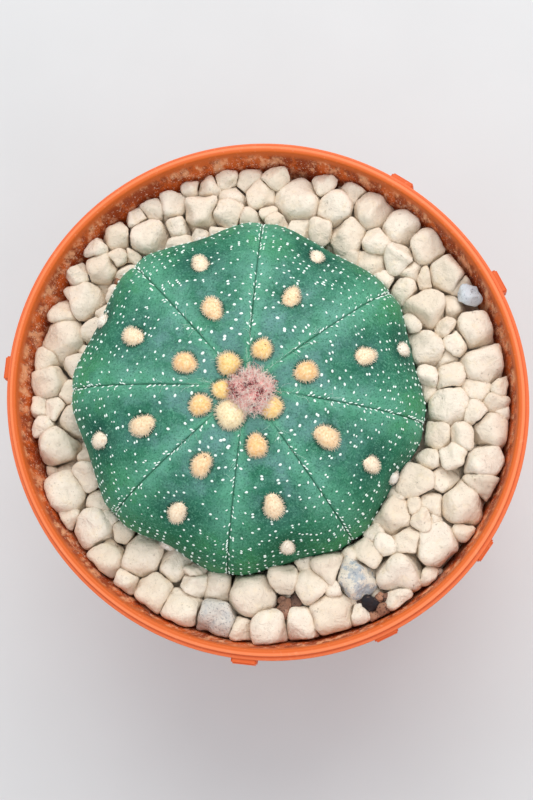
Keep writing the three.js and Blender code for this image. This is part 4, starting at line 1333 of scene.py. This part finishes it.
# %% Zones of the skin
green = Finish("cactus_skin", Roughness=0.5, Specular_IOR_Level=0.12)
across, down = green.stored("across"), green.stored("down")
fray = green.grain(2.6, 4.0, 0.6)
fine = green.grain(0.45, 3.0, 0.7)
frayed = fray - 0.5
mottled = green.blotches(2.9, 0.28, 0.72, 6.0, 0.72)
# Mint-green beside the furrows: partly the skin's own colour, partly a painted highlight on the raised rib
# edges.
mint_and_ridge_highlight = green.step(across + 0.5 * frayed, 0.42, 0.95)
# Painted shade in the dimples round the areoles.
shaded_areole_dimples = 1 - green.step(green.stored("from_areole") + 3.0 * frayed, 1.5, 6.5)
bloom_place = green.grain(4.5, 4.0, 0.6) + 0.25 * (1 - green.step(down, 0.1, 0.55))
bloom = green.step(bloom_place, 0.58, 0.82) * (1 - green.step(down, 0.45, 0.9)) * (1 - mint_and_ridge_highlight)
northwards = green.add("ShaderNodeSeparateXYZ", [green.place()], output=1) / MM
# Painted shade low on the side of the dome away from the light.
shade_away_from_light = (1 - green.step(northwards + 8.0 * frayed, -38.0, -4.0)) * green.step(down, 0.35, 0.8)
sappy = green.blotches(7.0, 0.47, 0.60, 4.0, 0.6) * green.step(across, 0.2, 0.75)
hazy = green.blotches(4.6, 0.32, 0.70, 5.0, 0.68) * green.step(down, 0.02, 0.24)
swirl = green.add("ShaderNodeTexNoise", {"Vector": green.place(), "Scale": 400.0}, "Color")
bent_inputs = [green.place(), swirl, (0.002, 0.002, 0.002)]
bent = green.add("ShaderNodeVectorMath", bent_inputs, operation="MULTIPLY_ADD")
scratches = 1 - green.step(green.cells(4.2, bent, "DISTANCE_TO_EDGE"), 0.0, 0.022)
print("zones of the skin ready")

# %% Coats of the skin
green.ground(green.mix(mottled, LEAF_DARK, LEAF_GREEN))
# Painted highlight beside the furrows, partly the skin's own mint.
green.coat(mint_and_ridge_highlight * (0.5 + 0.25 * mottled), MINT_AND_RIDGE_HIGHLIGHT)
# Painted shade round the areoles.
green.coat(shaded_areole_dimples * green.step(down, 0.15, 0.6) * 0.8, AREOLE_DIMPLE_SHADE)
green.coat(bloom * 0.5, BLOOM)
# Painted shade on the side away from the light.
green.coat(shade_away_from_light * 0.85, SHADE_SIDE_GREEN)
green.coat(sappy * green.step(down, 0.35, 0.7) * 0.6, SAP_GREEN)
green.coat(hazy * (1 - green.step(down, 0.34, 0.68)) * 0.36 * (1 - shade_away_from_light), HAZE)
green.coat(green.step(fine, 0.50, 0.68) * 0.46, PALE_SPECK)
green.coat(green.blotches(0.30, 0.52, 0.66, 2.0, 0.6) * 0.6, DARK_SPECK)
green.coat(green.blotches(5.0, 0.50, 0.60, 2.0) * scratches * 0.5, SCUFF)
green.coat((1 - green.step(green.stored("areole_edge"), 0.1, 0.7)) * 0.7, AREOLE_SHADE)
in_crease = 1 - green.step(green.stored("from_furrow"), 0.02, 0.2)
green.coat(in_crease * green.step(down, 0.05, 0.2) * 0.7, CREASE_SHADE)
green.coat(green.step(down, 1.45, 1.75), ROOT_BROWN)
green.join("Roughness", 0.44 + 0.2 * fray + 0.1 * bloom)
green.bump(green.grain(1.3, 3.0, 0.6), 0.10)
green.bump(fine, 0.035)
skin.data.materials.append(green.material)
finish_piece(skin, "cactus_skin", "cactus_body")

# %% [markdown]
# ## White flecks
# The white dots that give this cactus its look are tiny tufts of hair, half a millimetre long. They stand
# in short chains that start at a furrow and slant inwards to the middle of the rib, and close to the
# furrow they become narrow dashes in pairs. One dot is modelled once, and Geometry Nodes puts a copy at
# each place of the rule, turned to the skin and sized by its distance from the crown.

# %% Places of the flecks
CHAINS = 15
CHAIN_SPACING = 1.75  # between the flecks of a chain
FIRST_CHAIN, CHAIN_STEP = 0.20, 0.064  # how far down the skin
CHAIN_CLIMB, CLIMB_SPREAD = 0.04, 0.13  # how much nearer to the crown a chain ends than it starts
FLECK_SEED, FLECK_LENGTH = 21, 0.50
CROWN_CLEAR = 0.11  # no fleck stands nearer to the crown
MISSING_SHARE, PAIRED_SHARE, PAIR_GAP = 0.13, 0.18, 0.6
DOWN_PER_MM = 1 / 46.0  # how far down the skin one millimetre reaches
scatter = np.random.default_rng(FLECK_SEED)


def spread(size):
    return size * scatter.normal()


def chain_of_flecks(middle, half, side, outer):
    """Angle, down, length, width as a share of the length, and turn of each fleck of one chain."""
    climb = CHAIN_CLIMB + CLIMB_SPREAD * scatter.random()
    reach = math.radians(half) * float(body_profile(outer)[0])
    count = max(2, round(reach / CHAIN_SPACING))
    flecks = []
    for step in range(count):
        inwards = (step + 0.35 + spread(0.07)) / count
        down = outer - climb * inwards + spread(0.005)
        if scatter.random() < MISSING_SHARE or down < CROWN_CLEAR:
            continue
        length = FLECK_LENGTH + 0.24 * (1 - smooth(down, 0.1, 0.5)) + spread(0.05)
        tilt = 0.15 + 0.7 * (1 - inwards) ** 2 + spread(0.3)
        angle = middle + half * side * (0.97 - 0.92 * inwards)
        shape = 0.74 - 0.24 * (1 - inwards) ** 2 + spread(0.05)
        flecks.append((angle, down, length, shape, -side * tilt))
        if scatter.random() < PAIRED_SHARE * smooth(down, 0.15, 0.5):
            flecks.append((angle, down + PAIR_GAP * DOWN_PER_MM, length, shape, -side * tilt))
    return flecks


places = []
for start, width in zip(FURROW_ANGLES, RIB_WIDTHS):
    for side in (-1, 1):
        for chain in range(CHAINS):
            outer = FIRST_CHAIN + CHAIN_STEP * chain + spread(0.016)
            places += chain_of_flecks(start + width / 2, width / 2, side, outer)
print(len(places), "flecks in chains")

# %% Stitches in the furrows
STITCH_STEP, STITCH_SHAPE, STITCH_SLANT = 0.8, 0.38, 0.45
STITCHES_FROM, STITCHES_TO = 0.12, 1.08  # how far down the skin
for start in FURROW_ANGLES:
    along = STITCHES_FROM
    while along < STITCHES_TO:
        radius = float(body_profile(along)[0])
        side = 1 if scatter.random() < 0.5 else -1
        if scatter.random() < 0.55 + 0.3 * smooth(along, 0.2, 0.7):
            angle = start + side * math.degrees((0.16 + 0.2 * scatter.random()) / radius)
            length = 0.5 + 0.3 * scatter.random()
            turn = side * (math.pi / 2 - STITCH_SLANT + spread(0.2))
            places.append((angle, along, length, STITCH_SHAPE, turn))
        along += STITCH_STEP * DOWN_PER_MM * (0.6 + 0.8 * scatter.random())
print(len(places), "flecks with the stitches")

# %% Stand the flecks on the skin, but leave out those too near to an areole
FLECK_CLEARANCE, FLECK_THICKNESS, FLECK_LIFT = 0.55, 0.2, 0.02
ANGLE_STEP, DOWN_STEP = 0.4, 0.004


def unit(vectors):
    return vectors / np.linalg.norm(vectors, axis=1, keepdims=True)


def skin_frame(angle, down):
    """Place, outward normal and the direction away from the crown at points of the skin."""
    sideways = skin_points(angle + ANGLE_STEP, down) - skin_points(angle - ANGLE_STEP, down)
    outwards = skin_points(angle, down + DOWN_STEP) - skin_points(angle, down - DOWN_STEP)
    return skin_points(angle, down, FLECK_LIFT), unit(np.cross(outwards, sideways)), unit(outwards)


places = np.array(places)
from_edge = areole_distance(around(places[:, 0], *body_profile(places[:, 1])), 0.5)
fleck_angle, fleck_down, fleck_length, fleck_shape, fleck_turn = places[from_edge > FLECK_CLEARANCE].T
fleck_place, fleck_normal, fleck_out = skin_frame(fleck_angle, fleck_down)
fleck_side = np.cross(fleck_normal, fleck_out)
fleck_along = fleck_side * np.cos(fleck_turn)[:, None] + fleck_out * np.sin(fleck_turn)[:, None]
thickness = np.full(len(fleck_length), FLECK_THICKNESS)
fleck_size = np.stack([fleck_length, fleck_length * fleck_shape, thickness], 1)
flecks = new_piece("white_flecks", on_plant(fleck_place), [])
store(flecks, "fleck_normal", fleck_normal @ PLANT_TURN.T, "FLOAT_VECTOR")
store(flecks, "fleck_along", fleck_along @ PLANT_TURN.T, "FLOAT_VECTOR")
store(flecks, "fleck_size", fleck_size * MM, "FLOAT_VECTOR")
print(len(fleck_length), "flecks on the skin")

# %% [markdown]
# A tuft is matt white and slightly translucent at its edge. At this size a rough white surface with a
# fine bump is all the eye can tell.

# %% Fleck finish and tree
TUFT_GREENISH, TUFT_WHITE = (0.72, 0.86, 0.76), (0.90, 0.96, 0.90)

white_tuft = Finish("fleck_wool", Roughness=0.95, Specular_IOR_Level=0.2)
tuft_grain = white_tuft.grain(0.12, 2.0)
white_tuft.ground(white_tuft.mix(tuft_grain, TUFT_GREENISH, TUFT_WHITE))
white_tuft.bump(tuft_grain, 0.05)

fleck_tree = GeometryGraph("skin_flecks", Sides="Int", Rings="Int")
ball = {"Segments": fleck_tree.inputs["Sides"], "Rings": fleck_tree.inputs["Rings"], "Radius": 0.5}
axes = [fleck_tree.named("fleck_normal", "FLOAT_VECTOR"), fleck_tree.named("fleck_along", "FLOAT_VECTOR")]
copies = {
    "Points": fleck_tree.add("GeometryNodeMeshToPoints", [fleck_tree.inputs["Geometry"]]),
    "Instance": fleck_tree.add("GeometryNodeMeshUVSphere", ball),
    "Rotation": fleck_tree.add("FunctionNodeAxesToRotation", axes, primary_axis="Z", secondary_axis="X"),
    "Scale": fleck_tree.named("fleck_size", "FLOAT_VECTOR"),
}
fleck_tree.end(fleck_tree.add("GeometryNodeInstanceOnPoints", copies), white_tuft.material)
grown(flecks, fleck_tree, Sides=8, Rings=5)
flecks.data.shade_smooth()
finish_piece(flecks, "cactus_skin")

# %% [markdown]
# Near the crown the furrows are young, and fine white hairs lie over them like cobweb. Each hair is a
# wandering line on the skin, and a small tree gives it thickness.

# %% Cobweb hairs
HAIRS_PER_FURROW, HAIR_STEPS, HAIR_STEP = 14, 8, 0.26
HAIR_WANDER, COBWEB_THICKNESS, COBWEB_SEED = 0.22, 0.028, 31
tangle = np.random.default_rng(COBWEB_SEED)


def cobweb_hair(start):
    """Points of one hair that wanders down a furrow."""
    begin = 0.06 + 0.24 * tangle.random() ** 2
    heading = 0.7 * tangle.normal() + np.cumsum(HAIR_WANDER * tangle.normal(size=HAIR_STEPS))
    down = begin + np.cumsum(HAIR_STEP * DOWN_PER_MM * np.cos(heading))
    sideways = 0.3 * tangle.normal() + np.cumsum(HAIR_STEP * np.sin(heading))
    angle = start + np.degrees(sideways / np.maximum(2.5, body_profile(down)[0]))
    return skin_points(angle, np.maximum(0.05, down), 0.08 + 0.12 * tangle.random())


hairs = [cobweb_hair(start) for start in FURROW_ANGLES for _ in range(HAIRS_PER_FURROW)]
firsts = range(0, len(hairs) * HAIR_STEPS, HAIR_STEPS)
hair_edges = [(first + step, first + step + 1) for first in firsts for step in range(HAIR_STEPS - 1)]
threads = new_piece("cobweb_hairs", on_plant(np.concatenate(hairs)), [], edges=hair_edges)

thread_tree = GeometryGraph("thread_tubes", Thickness="Float")
lines = thread_tree.add("GeometryNodeMeshToCurve", [thread_tree.inputs["Geometry"]])
thread_tree.end(thread_tree.tubes(lines, thread_tree.inputs["Thickness"]), white_tuft.material)
grown(threads, thread_tree, Thickness=COBWEB_THICKNESS * MM)
finish_piece(threads, "cactus_skin")

# %% [markdown]
# ## A tree that grows hair
# Wool on the areoles and on the bud is the same thing at two scales: hairs that start on a surface, lean
# a little and curl. Blender's hair curves would do, but the finished part must be plain meshes. So a tree
# scatters points, stands a line on each, bends the lines by noise, combs them along a stored direction
# and only then gives them thickness.

# %% Hair tree
HAIR_SIZES = {"Density": "Float", "Length": "Float", "Length_spread": "Float", "Thickness": "Float"}
HAIR_SIZES |= {"Lean": "Float", "Curl": "Float", "Curl_size": "Float", "Steps": "Int", "Seed": "Int"}
TIP_THINNING = 0.6


class HairGraph(GeometryGraph):
    """The steps from a surface to hairs, each as a short method."""

    def swing(self, seed):
        """A number from -1 to 1, drawn for each hair."""
        limits = {2: -1.0, 3: 1.0, "Seed": seed}
        return self.add("FunctionNodeRandomValue", limits, 1, data_type="FLOAT")

    def keep(self, geometry, attribute, value):
        stored = {"Geometry": geometry, "Name": attribute, "Value": value}
        return self.add("GeometryNodeStoreNamedAttribute", stored, data_type="FLOAT", domain="POINT")

    def straight_hairs(self):
        roots = {"Mesh": self.inputs["Geometry"], "Density": self.inputs["Density"]}
        roots = self.add("GeometryNodeDistributePointsOnFaces", {**roots, "Seed": self.inputs["Seed"]})
        upright = Term(self, roots.socket.node.outputs["Rotation"])
        line = self.add("GeometryNodeCurvePrimitiveLine", {"End": (0, 0, 1)})
        line = self.add("GeometryNodeResampleCurve", {"Curve": line, "Count": self.inputs["Steps"]})
        line = self.keep(line, "tip", self.add("GeometryNodeSplineParameter"))
        lean = [self.swing(1) * self.inputs["Lean"], self.swing(2) * self.inputs["Lean"], 0.0]
        lean = self.add("FunctionNodeEulerToRotation", [self.add("ShaderNodeCombineXYZ", lean)])
        turned_by = self.add("FunctionNodeRotateRotation", [upright, lean], rotation_space="LOCAL")
        length = self.inputs["Length"] * (1 + self.swing(3) * self.inputs["Length_spread"])
        stood = {"Points": roots, "Instance": line, "Rotation": turned_by}
        stood["Scale"] = length * self.named("hair_length")
        return self.add("GeometryNodeRealizeInstances", [self.add("GeometryNodeInstanceOnPoints", stood)])

    def curled(self, hairs):
        swirl = {"Vector": self.add("GeometryNodeInputPosition"), "Scale": 1 / self.inputs["Curl_size"]}
        swirl = self.add("ShaderNodeTexNoise", {**swirl, "Detail": 1.0}, "Color")
        swirl = self.add("ShaderNodeVectorMath", [swirl, (0.5, 0.5, 0.5)], operation="SUBTRACT")
        bend = self.named("tip") * self.inputs["Curl"] * self.named("hair_length")
        return self.moved(hairs, self.scaled(swirl, bend))

    def combed(self, hairs):
        return self.moved(hairs, self.scaled(self.named("comb", "FLOAT_VECTOR"), self.named("tip")))

    def shaded(self, hairs):
        """Keeps a shade between 0 and 1 on each hair."""
        shade = [self.swing(4) * 0.5 + 0.5]
        shade = self.add("GeometryNodeFieldOnDomain", shade, data_type="FLOAT", domain="CURVE")
        return self.keep(hairs, "hair_shade", shade)


def hair_tree(name, material):
    graph = HairGraph(name, **HAIR_SIZES)
    hairs = graph.shaded(graph.combed(graph.curled(graph.straight_hairs())))
    thickness = graph.inputs["Thickness"] * (1 - TIP_THINNING * graph.named("tip"))
    graph.end(graph.tubes(hairs, thickness), material)
    return graph


print("hair tree ready")

# %% [markdown]
# ## Areoles
# An areole is a cushion of felt on the rib, with a fringe of short hairs round it. New ones, at the crown,
# are deep yellow, and old ones bleach to cream. A low dome carries the hairs and closes the gaps between
# them.

# %% Domes of felt
DOME_SIDES, DOME_RINGS = 20, 7
FELT_SHARE = 0.93  # of the areole's width; the fringe makes up the rest
HAIR_COMB = 0.17  # how far tips are combed outwards, as a share of their distance from the middle


def dome_axes(areole):
    normal = around(areole["angle"], *body_normal(areole["down"]))
    side = np.cross(normal, [0, 0, 1])
    side = side / np.linalg.norm(side)
    return normal, side, np.cross(normal, side)


def felt_dome(areole):
    """Points of one dome, half sunk in the skin."""
    seat = skin_points(areole["angle"], areole["down"])
    normal, side, other = dome_axes(areole)
    drawn_out = 1 + 0.45 * smooth(areole["down"], 0.05, 0.35)
    reach = areole["width"] / 2 * FELT_SHARE / drawn_out**0.3
    turns = 2 * np.pi * np.arange(DOME_SIDES) / DOME_SIDES
    turn, lift = np.meshgrid(turns, np.linspace(0.5, -0.14, DOME_RINGS) * np.pi)
    flat, high = np.cos(lift) * reach, np.sin(lift) * AREOLE_RISE * areole["width"] * 0.74
    wavy = 1 + 0.05 * np.sin(3 * turn + 5 * areole["angle"]) + 0.03 * np.sin(5 * turn + areole["angle"])
    grid = seat + (flat * wavy * np.cos(turn))[..., None] * side
    grid = grid + (flat * wavy * drawn_out * np.sin(turn))[..., None] * other
    grid = (grid + high[..., None] * normal)[1:]
    return closed_grid(grid, seat + normal * high[0, 0], seat + normal * high[-1, 0])


def outwards_from_top(areole, points):
    """How far each point of a dome lies from its top, along the skin."""
    normal, _, _ = dome_axes(areole)
    out = points - points[0]
    return out - (out @ normal)[:, None] * normal


domes = [felt_dome(areole) for areole in areoles]
dome_points = np.concatenate([points for points, _ in domes])
dome_size = len(domes[0][0])
dome_faces = [
    tuple(corner + number * dome_size for corner in face)
    for number, (_, faces) in enumerate(domes)
    for face in faces
]
to_edge = np.linspace(0, 1, DOME_RINGS - 1).repeat(DOME_SIDES)
dome_rim = np.tile([0, *to_edge, 1], len(domes))
dome_age = np.repeat([areole["down"] for areole in areoles], dome_size)
dome_width = np.repeat([areole["width"] for areole in areoles], dome_size)
out = np.concatenate([outwards_from_top(areole, points) for areole, (points, _) in zip(areoles, domes)])
felt = new_piece("areole_felt", on_plant(dome_points), dome_faces)
store(felt, "age", dome_age)
store(felt, "rim", dome_rim)
store(felt, "hair_length", 0.7 + 0.6 * smooth(dome_rim, 0.3, 0.8))
store(felt, "bleached", 0.75 * smooth(dome_width, 4.4, 5.6))
store(felt, "comb", HAIR_COMB * out @ PLANT_TURN.T * MM, "FLOAT_VECTOR")
print(len(domes), "domes,", len(dome_points), "points")

# %% Felt and hair finish
YOUNG_TO_OLD = [
    (0.06, (0.95, 0.68, 0.26)),
    (0.17, (0.94, 0.60, 0.27)),
    (0.34, (0.95, 0.72, 0.46)),
    (0.65, (0.96, 0.85, 0.69)),
    (0.92, (0.92, 0.92, 0.90)),
]
BLEACHED, PALE_TUFT, DEEP_TUFT = (0.97, 0.88, 0.62), (0.97, 0.86, 0.66), (0.62, 0.30, 0.10)
EDGE_CREAM, ROOT_AMBER, HAIR_CREAM = (0.97, 0.88, 0.72), (0.66, 0.33, 0.11), (0.97, 0.90, 0.76)
WITHERED_BROWN = (0.20, 0.07, 0.03)


def wool_finish(name, edge, root_shade):
    """Wool that bleaches with age, tufted, and darker at the root of each hair."""
    finish = Finish(name, Roughness=0.95, Specular_IOR_Level=0.1)
    rim = finish.stored("rim")
    tufts = finish.grain(0.42, 2.0, 0.6)
    withered = finish.blotches(0.6, 0.735, 0.76, 1.0) * (1 - finish.step(rim, 0.35, 0.6))
    finish.ground(finish.ramp(finish.stored("age"), YOUNG_TO_OLD))
    finish.coat(finish.stored("bleached"), BLEACHED)
    finish.coat(finish.step(tufts, 0.48, 0.66) * 0.5, PALE_TUFT)
    finish.coat((1 - finish.step(tufts, 0.34, 0.46)) * 0.35, DEEP_TUFT)
    finish.coat(finish.step(rim, 0.25, 0.75) * edge, EDGE_CREAM)
    finish.coat((1 - finish.step(finish.stored("tip"), 0.0, 0.7)) * root_shade, ROOT_AMBER)
    finish.coat(finish.stored("hair_shade") * 0.4, HAIR_CREAM)
    finish.coat(withered * 0.85, WITHERED_BROWN)
    finish.bump(tufts, 0.12)
    return finish.material


# %% Grow the fringe
AREOLE_WOOL = {"Density": 24e6, "Length": 0.25 * MM, "Length_spread": 0.4, "Thickness": 0.09 * MM}
AREOLE_WOOL |= {"Lean": 0.5, "Curl": 0.15 * MM, "Curl_size": 0.5 * MM, "Steps": 2, "Seed": 5}

felt_material = wool_finish("areole_felt", 0.4, 0.0)
hair_material = wool_finish("areole_hair", 0.85, 0.2)
fringe = felt.copy()
fringe.data = felt.data.copy()
fringe.name = "areole_hair"
bpy.context.scene.collection.objects.link(fringe)
felt.data.materials.append(felt_material)
grown(fringe, hair_tree("areole_wool", hair_material), **AREOLE_WOOL)
finish_piece(felt, "cactus_skin")
finish_piece(fringe, "cactus_skin")

# %% [markdown]
# ## The dried bud
# On the crown sits a spent flower bud: a flattened knot of matted hairs, pink and cream outside and
# crimson within, with a few withered brown tips. Its core is a low ball, and the same hair tree covers it
# with long curling hairs.

# %% Core of the bud
BUD_RADIUS, BUD_RISE, BUD_LIFT = 3.7, 0.55, 0.4
BUD_ASIDE = (1.1, -1.1)  # it has dried a little off the middle of the crown
BUD_SIDES, BUD_RINGS = 36, 16


def bud_core():
    turns = 2 * np.pi * np.arange(BUD_SIDES) / BUD_SIDES
    turn, lift = np.meshgrid(turns, np.linspace(0.5, -0.5, BUD_RINGS + 2)[1:-1] * np.pi)
    out = BUD_RADIUS * (1 + 0.08 * np.sin(5 * turn) * np.cos(lift)) * np.cos(lift)
    high = BUD_RADIUS * BUD_RISE * np.sin(lift)
    grid = np.stack([out * np.cos(turn), out * np.sin(turn), high], -1)
    middle = np.array([*BUD_ASIDE, float(body_profile(0.0)[1]) + BUD_LIFT])
    tall = np.array([0, 0, BUD_RADIUS * BUD_RISE])
    return closed_grid(grid + middle, middle + tall, middle - tall)


# %% Wool of the bud
BUD_STOPS = [
    (0.08, (0.12, 0.02, 0.02)),
    (0.15, (0.55, 0.06, 0.09)),
    (0.24, (0.96, 0.40, 0.39)),
    (0.34, (1.0, 0.64, 0.55)),
    (0.54, (1.0, 0.88, 0.79)),
]
CORE_CRIMSON = (0.16, 0.03, 0.03)
WITHERED_ASIDE = (-1.5, 0.2, 0.0)  # where the withered tips stand, from the top of the bud
BUD_WOOL = {"Density": 19.0e6, "Length": 1.4 * MM, "Length_spread": 0.6, "Thickness": 0.11 * MM}
BUD_WOOL |= {"Lean": 1.5, "Curl": 3.0 * MM, "Curl_size": 0.9 * MM, "Steps": 9, "Seed": 8}


def bud_finish(name, dark):
    finish = Finish(name, Roughness=0.95, Specular_IOR_Level=0.2)
    patches = finish.blotches(2.4, 0.34, 0.54, 3.0, 0.6)
    shade = patches * 0.28 + finish.stored("hair_shade") * 0.84 - finish.stored("withered") * 0.26
    finish.ground(finish.ramp(shade, BUD_STOPS))
    finish.coat(dark, CORE_CRIMSON)
    finish.bump(finish.grain(0.3, 2.0), 0.08)
    return finish.material


core_points, core_faces = bud_core()
bud = new_piece("bud_core", on_plant(core_points), core_faces, bud_finish("bud_core", 0.1))
wool = new_piece("bud_wool", on_plant(core_points), core_faces)
store(wool, "hair_length", np.ones(len(core_points)))
from_heart = np.linalg.norm(core_points - core_points[0] - WITHERED_ASIDE, axis=1)
store(wool, "withered", 1 - smooth(from_heart, 0.6, 2.8))
grown(wool, hair_tree("bud_wool", bud_finish("bud_wool", 0.0)), **BUD_WOOL)
finish_piece(bud, "bud_wool", "flower_bud")
finish_piece(wool, "bud_wool")
